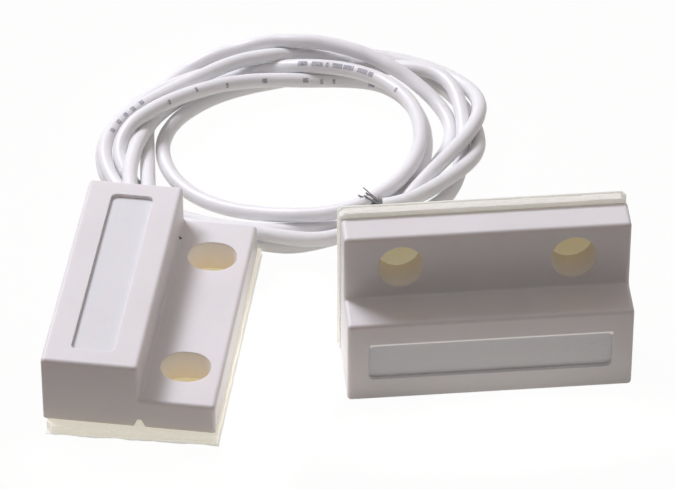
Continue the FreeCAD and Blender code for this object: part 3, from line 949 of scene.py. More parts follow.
FINISHES: Mapping[Look, Finish] = {
    # lip_glow: the magnet half's recess gets a painted highlight, the switch half's none.
    Look.SWITCH_PLASTIC: CasePlastic(SWITCH_FRAME, lip_glow=0.0),
    Look.MAGNET_PLASTIC: CasePlastic(MAGNET_FRAME, lip_glow=0.22),
    Look.SWITCH_FOAM: Foam(SWITCH_FRAME, shine=0.32),
    Look.MAGNET_FOAM: Foam(MAGNET_FRAME, shine=0.13),
    Look.PAPER: ReleasePaper(),
    Look.VINYL: Vinyl(),
    Look.INK: WornInk(),
    Look.GLASS: CapsuleGlass(),
    Look.RESIN: Resin(),
    Look.REED: Metal("plated_reed", (0.52, 0.51, 0.48), (0.70, 0.69, 0.66), 0.72, 0.10, 0.003),
    # Tinned strands: their dark colours are partly painted shade, darker than the metal, standing in for the
    # shade the strands lie in.
    Look.COPPER: Metal("tinned_copper_shaded", (0.12, 0.12, 0.12), (0.40, 0.39, 0.38), 0.80, 0.08, 0.006),
    Look.SOLDER: Metal("solder", (0.55, 0.55, 0.56), (0.72, 0.72, 0.73), 0.84, 0.25, 0.02),
    Look.MAGNET: Metal("plated_magnet", (0.58, 0.58, 0.60), (0.76, 0.76, 0.78), 0.68, 0.30, 0.004),
}



Materials = Mapping[Look, bpy.types.Material]


def paint(piece: bpy.types.Object, material: bpy.types.Material) -> None:
    """Give a piece one material.

    Args:
        piece: the object.
        material: its material.
    """
    piece.data.materials.clear()
    piece.data.materials.append(material)
    LOG.info("%s: %s", piece.name, material.name)


def dress(piece: bpy.types.Object, material: bpy.types.Material, slot: Slot, *nodes: str) -> None:
    """Args:
        piece: the object.
        material: its material.
        slot: its material slot; not used.
        *nodes: the CAD nodes that it takes the place of.
    """
    paint(piece, material)
    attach(piece, BODY)
    if nodes:
        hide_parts(*nodes)


def new_piece(
    name: str, mesh: bmesh.types.BMesh, smooth: bool = True, closed: bool = True
) -> bpy.types.Object:
    """Turn a bmesh in metres into an object at the origin.

    Args:
        name: the piece's name.
        mesh: the bmesh, which is freed.
        smooth: whether faces are shaded smooth.
        closed: whether it is a closed shell, whose faces are turned outwards here.

    Returns:
        The object.
    """
    if closed:
        bmesh.ops.recalc_face_normals(mesh, faces=mesh.faces)
    data = bpy.data.meshes.new(name)
    mesh.to_mesh(data)
    mesh.free()
    for polygon in data.polygons:
        polygon.use_smooth = smooth
    piece = bpy.data.objects.new(name, data)
    bpy.context.scene.collection.objects.link(piece)
    return piece


def join_rings(mesh: bmesh.types.BMesh, rings: Sequence[list[bmesh.types.BMEdge]]) -> None:
    """Join closed rings of edges by walls.

    Args:
        mesh: the bmesh that holds the rings.
        rings: the edges of each ring, in order.
    """
    for below, above in zip(rings[:-1], rings[1:]):
        bmesh.ops.bridge_loops(mesh, edges=below + above)


# The two halves


def wander(random: np.random.Generator, count: int, smoothing: int) -> np.ndarray:
    """Make a closed run of random numbers that change slowly.

    Args:
        random: the generator.
        count: how many numbers.
        smoothing: how often neighbours are averaged.

    Returns:
        The numbers, between 0 and 1.
    """
    values = random.normal(size=count)
    for _ in range(smoothing):
        values = (np.roll(values, 1) + 2 * values + np.roll(values, -1)) / 4
    return 0.5 + 0.5 * np.tanh(values / values.std())


@dataclass(frozen=True)
class Sheet:
    """A foam tape or its release liner, in the frame of the case that it is on.

    Attributes:
        node: the CAD node that it takes the place of.
        slot: its material slot.
        look: its finish.
        seed: picks the tear.
        corners: its corners counterclockwise.
        torn: how deep the edge after each corner is torn.
        low: where it starts off the liner's outer face.
        high: where it ends.
        rows: how many rows of points its edge has.
        spacing: how far two points of its edge lie apart.
        broad: the share of the tear that runs through all rows.
        smoothing: how often that share's numbers are averaged with their neighbours, and each row's own.
        stand_back: how much further in the outer rows of a thick edge lie.
    """

    node: str
    slot: Slot
    look: Look
    seed: int
    corners: tuple[Pair, ...]
    torn: tuple[float, ...]
    low: float
    high: float
    rows: int
    spacing: float = 0.2
    broad: float = 0.6
    smoothing: tuple[int, int] = (40, 3)
    stand_back: float = 0.03

    def outline(self) -> tuple[np.ndarray, np.ndarray, np.ndarray]:
        """Walk round the cut outline.

        Returns:
            Its points, the way inwards at each, and how deep each may be torn.
        """
        points, inward, depth = [], [], []
        corners = [np.array(corner) for corner in self.corners]
        for start, end, torn in zip(corners, corners[1:] + corners[:1], self.torn):
            way = end - start
            length = float(np.linalg.norm(way))
            count = max(2, round(length / self.spacing))
            for step in range(count):
                points.append(start + way * step / count)
                inward.append(np.array((-way[1], way[0])) / length)
                depth.append(torn)
        return np.array(points), np.array(inward), np.array(depth)

    def build(self, frame: CaseFrame) -> bpy.types.Object:
        """Build the sheet with torn edges, which stay inside its cut outline.

        Args:
            frame: the case's own frame.

        Returns:
            The piece.
        """
        points, inward, depth = self.outline()
        random = np.random.default_rng(self.seed)
        through = wander(random, len(points), self.smoothing[0])
        mesh = bmesh.new()
        rows, rings = [], []
        for row, height in enumerate(np.linspace(self.low, self.high, self.rows)):
            own = wander(random, len(points), self.smoothing[1])
            inset = depth * (self.broad * through + (1 - self.broad) * own)
            if self.rows > 2 and row in (0, self.rows - 1):
                inset = inset + self.stand_back
            flat = points + inward * inset[:, None]
            placed = frame.place(np.c_[flat, np.full(len(flat), height)])
            rows.append([mesh.verts.new(place * MM) for place in placed])
            rings.append([mesh.edges.new(ends) for ends in zip(rows[-1], rows[-1][1:] + rows[-1][:1])])
        join_rings(mesh, rings)
        large = [mesh.faces.new(rows[0][::-1]), mesh.faces.new(rows[-1])]
        bmesh.ops.triangulate(mesh, faces=large)
        return new_piece("torn_" + self.node, mesh, smooth=False)


@dataclass(frozen=True)
class Half:
    """A half of the contact: its case with what is inside, its foam tape and its release liner.

    Attributes:
        frame: the case's own frame.
        looks: the finish of each CAD node that is shown.
        sheets: its tape and its liner.
    """

    frame: CaseFrame
    looks: Mapping[str, Look]
    sheets: tuple[Sheet, Sheet]

    def build(self, nodes: Mapping[str, bpy.types.Object], materials: Materials) -> None:
        """Paint the CAD pieces and build both sheets.

        Args:
            nodes: the CAD nodes.
            materials: the materials.
        """
        for name, look in self.looks.items():
            paint(nodes[name], materials[look])
        for sheet in self.sheets:
            dress(sheet.build(self.frame), materials[sheet.look], sheet.slot, sheet.node)


SWITCH_HALF = Half(
    frame=SWITCH_FRAME,
    looks={
        "switch_case": Look.SWITCH_PLASTIC,
        "switch_potting": Look.RESIN,
        "reed_glass": Look.GLASS,
        **dict.fromkeys(("reed_blade_near", "reed_blade_far"), Look.REED),
        **dict.fromkeys(("lead_a_tail", "lead_b_tail"), Look.VINYL),
        **dict.fromkeys(("conductor_a", "conductor_b"), Look.COPPER),
        **dict.fromkeys(("solder_a", "solder_b"), Look.SOLDER),
    },
    sheets=(
        Sheet(
            "switch_tape", Slot.FOAM, Look.SWITCH_FOAM, seed=0,
            corners=((-7.8, -14.0), (-7.1, -14.67), (8.5, -14.1), (8.5, 13.85), (-7.8, 13.85)),
            torn=(0.10, 0.16, 0.12, 0.08, 0.08),
            low=LINER_THICK, high=SHEETS_THICK, rows=6,
        ),
        Sheet(
            "switch_liner", Slot.LINER, Look.PAPER, seed=1,
            corners=((-7.8, -14.77), (8.6, -14.2), (8.6, 13.95), (-7.8, 13.95)),
            torn=(0.22, 0.05, 0.03, 0.03),
            low=0.0, high=LINER_THICK, rows=2,
        ),
    ),
)

MAGNET_HALF = Half(
    frame=MAGNET_FRAME,
    looks={
        "magnet_case": Look.MAGNET_PLASTIC,
        "magnet_potting": Look.RESIN,
        "bar_magnet": Look.MAGNET,
    },
    sheets=(
        Sheet(
            "magnet_tape", Slot.FOAM, Look.MAGNET_FOAM, seed=2,
            corners=((-7.8, -13.4), (8.3, -13.4), (8.8, -12.9), (8.8, 13.2), (8.4, 13.7), (-7.8, 13.7)),
            torn=(0.06, 0.05, 0.09, 0.10, 0.12, 0.05),
            low=LINER_THICK, high=SHEETS_THICK, rows=6,
        ),
        Sheet(
            "magnet_liner", Slot.LINER, Look.PAPER, seed=3,
            corners=((-7.8, -13.5), (8.4, -13.5), (8.9, -13.0), (8.9, 13.3), (8.5, 13.8), (-7.8, 13.8)),
            torn=(0.03, 0.04, 0.05, 0.04, 0.08, 0.03),
            low=0.0, high=LINER_THICK, rows=2,
        ),
    ),
)


# The leads


WIRE = 1.5  # over a lead's insulation
SAMPLE = 0.75  # between two samples while the coil settles
THIN = 3  # every third sample becomes a control point
SIGHT_SLANT = (-0.17, 1.24)  # how a strand slides back, per mm that it sinks, along the line of sight


@dataclass(frozen=True)
class Oval:
    """The coil's mean oval on the table, and how waypoints lie on it.

    Attributes:
        middle: its middle.
        long: half its long axis.
        short: half its short axis.
        turn: how far it is turned.
        step: from one waypoint of a turn to the next, 18 to a turn.
    """

    middle: Pair = (9.5, 29.5)
    long: float = 16.4
    short: float = 13.3
    turn: float = 31.0
    step: float = 20.0

    def radius(self, angle: float) -> float:
        """Give the oval's radius at an angle clockwise from its west side, seen from above."""
        way = math.radians(180 - angle - self.turn)
        return self.long * self.short / math.hypot(self.short * math.cos(way), self.long * math.sin(way))

    def waypoint(self, index: int, lane: float, layer: float) -> Point:
        """Place one waypoint.

        Args:
            index: its number along the lead, from one step before the west side.
            lane: how far it lies outside the oval.
            layer: its height above the floor layer, in diameters.

        Returns:
            The waypoint.
        """
        angle = (index - 1) * self.step
        radius = self.radius(angle) + lane
        way = math.radians(angle)
        x = self.middle[0] - radius * math.cos(way)
        y = self.middle[1] + radius * math.sin(way)
        return x, y, WIRE * (0.5 + layer)

    def angles(self, line: np.ndarray) -> np.ndarray:
        """Give the angle of each point of a lead.

        Args:
            line: points of a lead, from its exit.

        Returns:
            The angles, counted on from turn to turn.
        """
        offset = line[:, :2] - np.array(self.middle)
        angle = np.degrees(np.unwrap(np.arctan2(offset[:, 1], -offset[:, 0])))
        return angle + 360 * round((-self.step - angle[0]) / 360)


OVAL = Oval()


@dataclass(frozen=True)
class Tick:
    """A plain worn tick printed on a lead.

    Attributes:
        angle: where it lies round the coil, counted on from turn to turn.
        long: its length.
        lean: how far it lies from the strand's top towards the coil's outside.
    """

    angle: float
    long: float
    lean: float


@dataclass(frozen=True)
class Lead:
    """A lead outside the switch half: out of the case, round the coil and to its bare end.

    Attributes:
        name: the piece's name.
        nodes: the CAD nodes that the piece stands for.
        exit: points of the straight way out of the case.
        lanes: how far each waypoint lies outside the coil's mean oval, one row to a turn,
            clockwise from the oval's west side less one waypoint.
        layers: the height of each waypoint, in diameters above the floor layer.
        end: the last points; the last one is where the bare strands start.
        length: the real length.
        ticks: the ticks printed on it.
        tick_half: half a tick's width round the lead, as an angle.
        tick_strips: how many strips that width has.
        ink: how far the print lies above the insulation.
    """

    name: str
    nodes: tuple[str, ...]
    exit: tuple[Point, ...]
    lanes: tuple[tuple[float, ...], ...]
    layers: tuple[tuple[float, ...], ...]
    end: tuple[Point, ...]
    length: float
    ticks: tuple[Tick, ...]
    tick_half: float = 19.0
    tick_strips: int = 6
    ink: float = 0.006

    def waypoints(self) -> np.ndarray:
        """Turn the rows of lanes and layers into points.

        Returns:
            The points, from the exit to the bare end.
        """
        lanes = [lane for row in self.lanes for lane in row]
        layers = [layer for row in self.layers for layer in row]
        turns = [OVAL.waypoint(index, lane, layer) for index, (lane, layer) in enumerate(zip(lanes, layers))]
        return np.array([*self.exit, *turns, *self.end], float)

    def build_cord(self, control: np.ndarray) -> bpy.types.Object:
        """Lay the lead as a NURBS curve.

        Args:
            control: its control points.

        Returns:
            The curve object.
        """
        data = bpy.data.curves.new(self.name, "CURVE")
        data.dimensions = "3D"
        data.bevel_depth = WIRE / 2 * MM
        data.bevel_resolution = 5
        data.resolution_u = 6
        data.use_fill_caps = True
        spline = data.splines.new("NURBS")
        spline.points.add(len(control) - 1)
        for point, place in zip(spline.points, control):
            point.co = (*(place * MM), 1.0)
        spline.order_u = 3
        spline.use_endpoint_u = True
        cord = bpy.data.objects.new(self.name, data)
        bpy.context.scene.collection.objects.link(cord)
        return cord

    def dress_cord(self, cord: bpy.types.Object, vinyl: bpy.types.Material, others: list) -> None:
        """Args:
            cord: the curve object.
            vinyl: its material.
            others: the pieces and nodes that go with it; not used.
        """
        dress(cord, vinyl, Slot.JACKET, *self.nodes)

    def build_ticks(self, name: str, control: np.ndarray) -> bpy.types.Object:
        """Lay the ticks on the lead's surface.

        Args:
            name: the piece's name.
            control: the lead's control points.

        Returns:
            The piece.
        """
        line = curve_points(control)
        angles = OVAL.angles(line)
        mesh = bmesh.new()
        for tick in self.ticks:
            middle = int(np.argmin(np.abs(angles - tick.angle)))
            spacing = float(np.linalg.norm(line[middle + 1] - line[middle]))
            reach = max(1, round(tick.long / 2 / spacing))
            grid = bmesh.ops.create_grid(mesh, x_segments=self.tick_strips, y_segments=2 * reach, size=1.0)
            for corner in grid["verts"]:
                place = middle + round(corner.co.y * reach)
                lean = math.radians(tick.lean - corner.co.x * self.tick_half)
                way = Vector(line[place + 1] - line[place - 1]).normalized()
                outside = UP.cross(way).normalized()
                top = way.cross(outside).normalized()
                off = top * math.cos(lean) + outside * math.sin(lean)
                corner.co = (Vector(line[place]) + off * (WIRE / 2 + self.ink)) * MM
        return new_piece(name, mesh, closed=False)


def even_line(points: np.ndarray) -> np.ndarray:
    """Run a smooth line through points and sample it evenly.

    Args:
        points: the points.

    Returns:
        Samples about SAMPLE apart.
    """
    held = np.vstack([2 * points[0] - points[1], points, 2 * points[-1] - points[-2]])
    fine = []
    for a, b, c, d in zip(held[:-3], held[1:-2], held[2:-1], held[3:]):
        for t in np.linspace(0, 1, 12, endpoint=False):
            curve = 2 * b + (c - a) * t + (2 * a - 5 * b + 4 * c - d) * t**2
            fine.append(0.5 * (curve + (3 * b - a - 3 * c + d) * t**3))
    line = np.array(fine + [held[-2]])
    run = np.r_[0, np.cumsum(np.linalg.norm(np.diff(line, axis=0), axis=1))]
    places = np.linspace(0, run[-1], round(run[-1] / SAMPLE) + 1)
    return np.stack([np.interp(places, run, line[:, k]) for k in range(3)], 1)


def control_points(line: np.ndarray) -> np.ndarray:
    """Thin a settled line to the control points of its curve."""
    return np.vstack([line[:-2:THIN], line[-1:]])


def curve_points(control: np.ndarray) -> np.ndarray:
    """Give points along the curve that control points of order 3 make.

    Args:
        control: the control points.

    Returns:
        The points, 16 to a control point.
    """
    before, here, after = control[:-2], control[1:-1], control[2:]
    steps = np.linspace(0, 1, 16, endpoint=False)[:, None, None]
    line = 0.5 * ((before - 2 * here + after) * steps**2 + 2 * (here - before) * steps + before + here)
    return line.transpose(1, 0, 2).reshape(-1, 3)


def bend_force(line: np.ndarray, reach: int) -> np.ndarray:
    """How a springy line wants to move to lose its bends.

    Args:
        line: samples of one lead.
        reach: how many samples apart the bend is felt.

    Returns:
        One vector to each sample, zero near both ends.
    """
    force = np.zeros_like(line)
    far_before, before, here = line[: -4 * reach], line[reach : -3 * reach], line[2 * reach : -2 * reach]
    after, far_after = line[3 * reach : -reach], line[4 * reach :]
    force[2 * reach : -2 * reach] = (far_before - 4 * before + 6 * here - 4 * after + far_after) / 16
    return force


class Settling:
    """Lets the planned leads sink, touch and rest on each other as springy wires do."""

    GAP = 1.58  # middle to middle where two strands touch, before the control points are thinned
    STEPS = 2000
    LATE = 0.75  # the share of the steps after which the wires only creep
    SINK, LATE_SINK = 0.006, 0.0018  # how far a wire sinks in a step
    PULL, LATE_PULL = 0.03, 0.015  # the share of the way back to its plan that it goes in a step
    BEND, FAR_BEND, FAR_REACH = 0.5, 0.35, 5  # how it straightens, close by and over more samples
    PUSHES, LATE_PUSHES = 1, 3  # how often touching wires are pushed apart in a step
    SIDE_PUSH = 0.25  # how much of a push goes across the sight line, where the plan already says the place
    SPREAD = 0.7  # how pushes of several neighbours share: 0 adds them, 1 takes their mean
    LOOK_EVERY, LOOK_MARGIN = 15, 0.9  # steps between searches for close samples, and how far they look
    NEIGHBOURS = 3.2 * WIRE  # samples of one lead that are closer along it don't push each other
    EASE, EASE_REACH, EASE_PASSES = 0.5, 2, 60  # how the plan's own bends are eased first
    HELD_START, HELD_END, EXIT_SAMPLES = 4, 5, 8
    TAPE_CORNER = (8.6, 13.95)
    TAPE_CLEAR = 0.82
    TINY = 1e-6

    def __init__(self, lines: Sequence[np.ndarray]) -> None:
        """Take the planned lines.

        Args:
            lines: evenly sampled lines, one to a lead.
        """
        sizes = [len(line) for line in lines]
        self.spans = [slice(end - size, end) for end, size in zip(np.cumsum(sizes), sizes)]
        self.place = np.vstack(lines)
        self.goal = np.vstack([self.eased(line) for line in lines])
        self.place[:, :2] = self.goal[:, :2]
        self.sight = np.array([*SIGHT_SLANT, -1.0]) / math.hypot(*SIGHT_SLANT, 1.0)
        lead = np.repeat(np.arange(len(sizes)), sizes)
        order = np.concatenate([np.arange(size) for size in sizes])
        self.beyond_exit = order > self.EXIT_SAMPLES
        free = (order >= self.HELD_START) & (order < np.array(sizes)[lead] - self.HELD_END)
        self.free = free.astype(float)[:, None]
        first, second = np.triu_indices(len(lead), 1)
        apart = (lead[first] != lead[second]) | (np.abs(first - second) * SAMPLE > self.NEIGHBOURS)
        self.first, self.second = first[apart], second[apart]

    def eased(self, line: np.ndarray) -> np.ndarray:
        """Ease the bends of a planned line.

        Args:
            line: the planned line.

        Returns:
            The line that its lead is drawn to.
        """
        goal = line.copy()
        for _ in range(self.EASE_PASSES):
            goal -= self.EASE * bend_force(goal, self.EASE_REACH)
        return goal

    def part(self, first: np.ndarray, second: np.ndarray) -> None:
        """Push samples that lie in each other apart.

        Args:
            first: indexes of one side of the close pairs.
            second: indexes of the other side.
        """
        between = self.place[first] - self.place[second]
        distance = np.linalg.norm(between, axis=1)
        close = distance < self.GAP
        if not close.any():
            return
        first, second, between = first[close], second[close], between[close]
        distance = np.maximum(distance[close], self.TINY)
        push = (0.5 * (self.GAP - distance) / distance)[:, None] * between
        push = self.SIDE_PUSH * push + (1 - self.SIDE_PUSH) * np.outer(push @ self.sight, self.sight)
        move, count = np.zeros_like(self.place), np.zeros(len(self.place))
        for index, way in ((first, push), (second, -push)):
            np.add.at(move, index, way)
            np.add.at(count, index, 1)
        self.place += move / np.maximum(count, 1)[:, None] ** self.SPREAD * self.free

    def keep_out(self) -> None:
        """Keep the samples on the floor and clear of the case and its tape."""
        free = self.free[:, 0] > 0
        self.place[free, 2] = np.maximum(self.place[free, 2], WIRE / 2)
        corner = np.array(self.TAPE_CORNER)
        away = self.place[:, :2] - np.minimum(self.place[:, :2], corner)
        distance = np.hypot(away[:, 0], away[:, 1])
        close = free & self.beyond_exit & (distance < self.TAPE_CLEAR)
        inside = close & (distance < self.TINY)
        self.place[inside, 1] = corner[1] + self.TAPE_CLEAR
        close &= ~inside
        push = (self.TAPE_CLEAR - distance[close]) / distance[close]
        self.place[close, :2] += away[close] * push[:, None]

    def close_pairs(self) -> tuple[np.ndarray, np.ndarray]:
        """Find the samples that may touch before the next search.

        Returns:
            Indexes of both sides of the pairs.
        """
        between = self.place[self.first] - self.place[self.second]
        near = np.einsum("ij,ij->i", between, between) < (self.GAP + self.LOOK_MARGIN) ** 2
        return self.first[near], self.second[near]

    def sink(self, late: bool) -> None:
        """Let the wires sink, straighten and go back to their plan for one step.

        Args:
            late: whether they only creep.
        """
        slide = (self.goal[:, 2:] - self.place[:, 2:]) * np.array([SIGHT_SLANT])
        here = self.goal[:, :2] + slide
        move = np.zeros_like(self.place)
        move[:, 2] -= self.LATE_SINK if late else self.SINK
        move[:, :2] += (self.LATE_PULL if late else self.PULL) * (here - self.place[:, :2])
        shape = np.c_[self.place[:, :2] - here, self.place[:, 2]]
        for span in self.spans:
            near, far = bend_force(shape[span], 1), bend_force(shape[span], self.FAR_REACH)
            move[span] -= self.BEND * near + self.FAR_BEND * far
        self.place += move * self.free

    def run(self) -> list[np.ndarray]:
        """Settle the coil.

        Returns:
            The settled lines, one to a lead.
        """
        for step in range(self.STEPS):
            late = step > self.LATE * self.STEPS
            if step % self.LOOK_EVERY == 0:
                pairs = self.close_pairs()
            self.sink(late)
            for _ in range(self.LATE_PUSHES if late else self.PUSHES):
                self.part(*pairs)
                self.keep_out()
        return [self.place[span] for span in self.spans]


@dataclass(frozen=True)
class FrayedEnd:
    """The bare strands that fan out of the first lead's end.

    Attributes:
        root: where they leave the insulation.
        ends: where each strand ends, from the root.
        bundle: the radius that they fill at the root.
        spiral: the turn from one strand to the next there, in radians.
        bend_at: the share of its way at which a strand bends.
        bend: how far it bends aside.
        thick: the radius of most strands.
        thin: the radius of the others.
        thin_every: which strands are thin.
        stations: how many steps a strand has.
        sides: how many sides it has.
    """

    root: Point
    ends: tuple[Point, ...]
    bundle: float = 0.30
    spiral: float = 2.4
    bend_at: float = 0.45
    bend: Point = (-0.12, 0.06, 0.07)
    thick: float = 0.085
    thin: float = 0.055
    thin_every: int = 5
    stations: int = 8
    sides: int = 8

    def strand(self, index: int) -> tuple[np.ndarray, np.ndarray, np.ndarray]:
        """Give a strand's start, the point that bends it and its tip.

        Args:
            index: the strand's number.

        Returns:
            The three points.
        """
        turn = index * self.spiral
        spot = self.bundle * math.sqrt((index + 0.5) / len(self.ends))
        root = np.array(self.root)
        start = root + (0.0, spot * math.cos(turn), spot * math.sin(turn))
        tip = root + self.ends[index]
        aside = np.array(self.bend) * (1.0, math.sin(3 * turn), math.cos(5 * turn))
        return start, start + (tip - start) * self.bend_at + aside, tip

    def build(self) -> bpy.types.Object:
        """Build the strands.

        Returns:
            The piece.
        """
        mesh = bmesh.new()
        for index in range(len(self.ends)):
            start, middle, tip = self.strand(index)
            radius = self.thick if index % self.thin_every else self.thin
            rings = []
            for t in np.linspace(0, 1, self.stations + 1):
                place = (1 - t) ** 2 * start + 2 * t * (1 - t) * middle + t**2 * tip
                way = Vector(2 * (1 - t) * (middle - start) + 2 * t * (tip - middle)).normalized()
                side = way.cross(UP).normalized()
                turned = Matrix((side, side.cross(way), way)).transposed().to_4x4()
                matrix = Matrix.Translation(place * MM) @ turned
                before = len(mesh.edges)
                bmesh.ops.create_circle(mesh, segments=self.sides, radius=radius * MM, matrix=matrix)
                rings.append(mesh.edges[before:])
            join_rings(mesh, rings)
            bmesh.ops.edgeloop_fill(mesh, edges=rings[0] + rings[-1])
        return new_piece("frayed_end", mesh)


@dataclass(frozen=True)
class Coil:
    """Both leads in their loose coil, with the bare ends and the worn print.

    Attributes:
        leads: both leads.
        frayed: the bare strands of the first.
        frayed_node: the CAD node that they take the place of.
        tip_node: the CAD node of the second lead's bare end, which is shown as it is.
    """

    leads: tuple[Lead, Lead]
    frayed: FrayedEnd
    frayed_node: str
    tip_node: str

    def build(self, nodes: Mapping[str, bpy.types.Object], materials: Materials) -> None:
        """Args:
            nodes: the CAD nodes.
            materials: the materials.
        """
        paint(nodes[self.tip_node], materials[Look.COPPER])
        strands = self.frayed.build()
        dress(strands, materials[Look.COPPER], Slot.CONDUCTOR, self.frayed_node)
        lines = Settling([even_line(lead.waypoints()) for lead in self.leads]).run()
        for index, (lead, line, bare_end) in enumerate(zip(self.leads, lines, (strands, self.tip_node))):
            control = control_points(line)
            ticks = lead.build_ticks(f"worn_ticks_{index}", control)
            dress(ticks, materials[Look.INK], Slot.JACKET)
            lead.dress_cord(lead.build_cord(control), materials[Look.VINYL], [bare_end, ticks])


FIRST_LEAD = Lead(
    name="first_lead",
    nodes=("lead_a", "lead_coil"),
    exit=((-2.75, 13.5, 3.2), (-2.8, 15.4, 3.15), (-3.3, 17.6, 2.95), (-3.7, 20.2, 2.7)),
    lanes=(
        (-1.4, -0.5, 1.7, 3.2, 3.7, 3.8, 2.3, 0.2, -0.9, 0.3, -0.7, -0.9, -0.5, -0.2, -1.1, -1.3, -1.1, -0.1),
        (1.6, 0.2, -1.5, -1.9, -2.7, -3.6, -3.7, -1.4, -2.3, -2.8, -2.4, -1.6, 0.1, 2.4, 1.5, 0.7, 0.5, 1.2),
        (3.3, 1.3, 0.0, 0.0, 0.9, 0.4, 0.3, 1.8, 1.8, 2.3, 2.6),
    ),
    layers=(
        (0.8, 0.2, 0, 0, 0.2, 0.3, 0.6, 1, 1, 0.1, 0, 0, 0, 0, 0, 0, 0, 0),
        (1.5, 1.8, 1.5, 1.1, 1, 1, 0.8, 0.1, 0, 0, 0, 0, 0.8, 1, 0.4, 0.8, 0.4, 0),
        (2, 2, 1.6, 1.2, 1, 1, 0.6, 0, 0.4, 0, 0.7),
    ),
    end=((23.1, 20.7, 3.6), (21.5, 19.5, 3.5), (19.8, 19.1, 3.3)),
    length=269.0,
    ticks=(
        Tick(370.0, 0.32, -52), Tick(384.5, 0.38, -34), Tick(402.0, 0.26, -64), Tick(424.3, 0.50, -58),
        Tick(447.6, 0.45, -52), Tick(456.3, 0.28, -62), Tick(461.8, 0.30, -62), Tick(478.9, 0.80, -64),
        Tick(713.5, 0.55, -30), Tick(717.7, 0.55, -28), Tick(721.5, 0.55, -22), Tick(724.7, 0.55, -20),
        Tick(728.2, 0.62, -16),
    ),
)

SECOND_LEAD = Lead(
    name="second_lead",
    nodes=("lead_b",),
    exit=((-4.45, 13.5, 3.2), (-4.5, 15.4, 3.15), (-4.95, 17.6, 2.95), (-5.4, 20.2, 2.7)),
    lanes=(
        (0.3, -0.4, -0.8, -0.8, -0.4, -1.2, -2.5, -3.1, -3.2, -3.4, -2.8, -2, -1.2, -1.5, -3.3, -4, -4.2, -4),
        (-3.4, -2.0, -1.5, -1.6, -2.1, -2.5, -1.3, 1.3, 1.5, 1.0, 1.4, 2.7, 3.0, 1.1, 1.8, 0.7, 1.3, 2.5),
        (3.3, 2.7, 1.9, 2.0, 2.1, 2.4, 1.9, 2.1, 3.2, 2.9, 1.4),
    ),
    layers=(
        (0.9, 1, 1, 0.7, 0.6, 0.9, 1.3, 1.4, 1.2, 1, 1, 1, 1, 0.6, 0.2, 0, 0, 0),
        (0, 0, 0, 0, 0, 0, 0, 0.3, 1.6, 1.6, 0, 0, 0, 0, 0, 0, 0, 0),
        (1, 1, 1, 0.2, 0, 0, 0, 0, 0.3, 1.6, 2),
    ),
    end=((22.2, 21.6, 2.9), (21.3, 19.8, 1.9), (20.9, 18.0, 1.5)),
    length=263.0,
    ticks=(
        *(Tick(angle, 0.44, -31) for angle in (86.0, 88.6, 93.4, 96.0, 103.5)),
        *(Tick(angle, 0.44, -31) for angle in (106.0, 109.3, 111.9, 116.4, 119.2)),
        Tick(99.6, 0.28, -31), Tick(122.9, 0.44, -34), Tick(140.5, 0.35, -44),
    ),
)

COIL = Coil(
    leads=(FIRST_LEAD, SECOND_LEAD),
    frayed=FrayedEnd(
        root=(19.9, 19.1, 3.32),
        ends=(
            (-2.20, 1.00, 1.22), (-1.90, 0.70, 0.85), (-2.62, 0.35, 0.72), (-2.05, 0.45, 0.66),
            (-1.98, 0.25, 0.80), (-2.15, 0.10, 0.52), (-1.85, 0.25, 0.42), (-2.05, 0.00, 0.36),
            (-1.90, 0.15, 0.20), (-1.80, 0.40, 0.52), (-2.30, -0.08, 0.22), (-1.70, 0.05, 0.06),
        ),
    ),
    frayed_node="lead_tip_a",
    tip_node="lead_tip_b",
)


# Camera, floor and light


@dataclass(frozen=True)
class Camera:
    """The photograph's camera.

    Attributes:
        place: where it stands.
        forward: where it looks.
        lens: its focal length.
        sensor: its sensor's width.
        clip: the near and far ends of what it sees, in metres.
    """

    place: Point = (65.101, -351.407, 308.666)
    forward: Point = (-0.10244, 0.76208, -0.63932)
    lens: float = 262.8
    sensor: float = 36.0
    clip: Pair = (0.01, 20.0)

    def build(self) -> None:
        """Set the camera to the photograph's angle."""
        forward = Vector(self.forward).normalized()
        right = forward.cross(UP).normalized()
        data = bpy.data.cameras.new("camera")
        data.sensor_fit = "HORIZONTAL"
        data.sensor_width = self.sensor
        data.lens = self.lens
        data.clip_start, data.clip_end = self.clip
        camera = bpy.data.objects.new("camera", data)
        turn = Matrix((right, right.cross(forward), -forward)).transposed().to_4x4()
        camera.matrix_world = Matrix.Translation(Vector(self.place) * MM) @ turn
        bpy.context.scene.collection.objects.link(camera)
        bpy.context.scene.camera = camera


def seen_directly(graph: Graph) -> Socket:
    """Whether a ray comes from the camera, a reflection or a clear material.

    Args:
        graph: the node tree.

    Returns:
        1 for such a ray, 0 for one that only lights a surface.
    """
    path = graph.add("LightPath").outputs
    seen = graph.maths("MAXIMUM", path["Is Camera Ray"], path["Is Transmission Ray"])
    return graph.maths("MAXIMUM", seen, path["Is Glossy Ray"])


@dataclass(frozen=True)
class Pool:
    """A soft oval of the floor that throws light back up.

    Attributes:
        middle: its middle.
        half: its half sizes.
        turn: how far it is turned.
        strength: how strongly it glows.
        edge: from full to no glow, in half sizes.
    """

    middle: Pair
    half: Pair
    turn: float
    strength: float
    edge: Pair = (0.55, 1.45)

    def glow(self, graph: Graph, place: Socket) -> Socket:
        """Give its strength at a place.

        Args:
            graph: the floor's node tree.
            place: the place.

        Returns:
            The strength.
        """
        moved = graph.vector("SUBTRACT", place, (self.middle[0] * MM, self.middle[1] * MM, 0.0))
        turn = {"Vector": moved, "Angle": math.radians(-self.turn)}
        turned = graph.add("VectorRotate", {"rotation_type": "Z_AXIS"}, **turn).outputs[0]
        scaled = graph.vector("MULTIPLY", turned, (1 / (self.half[0] * MM), 1 / (self.half[1] * MM), 0.0))
        return graph.times(graph.fade(graph.measure("LENGTH", scaled), self.edge), self.strength)


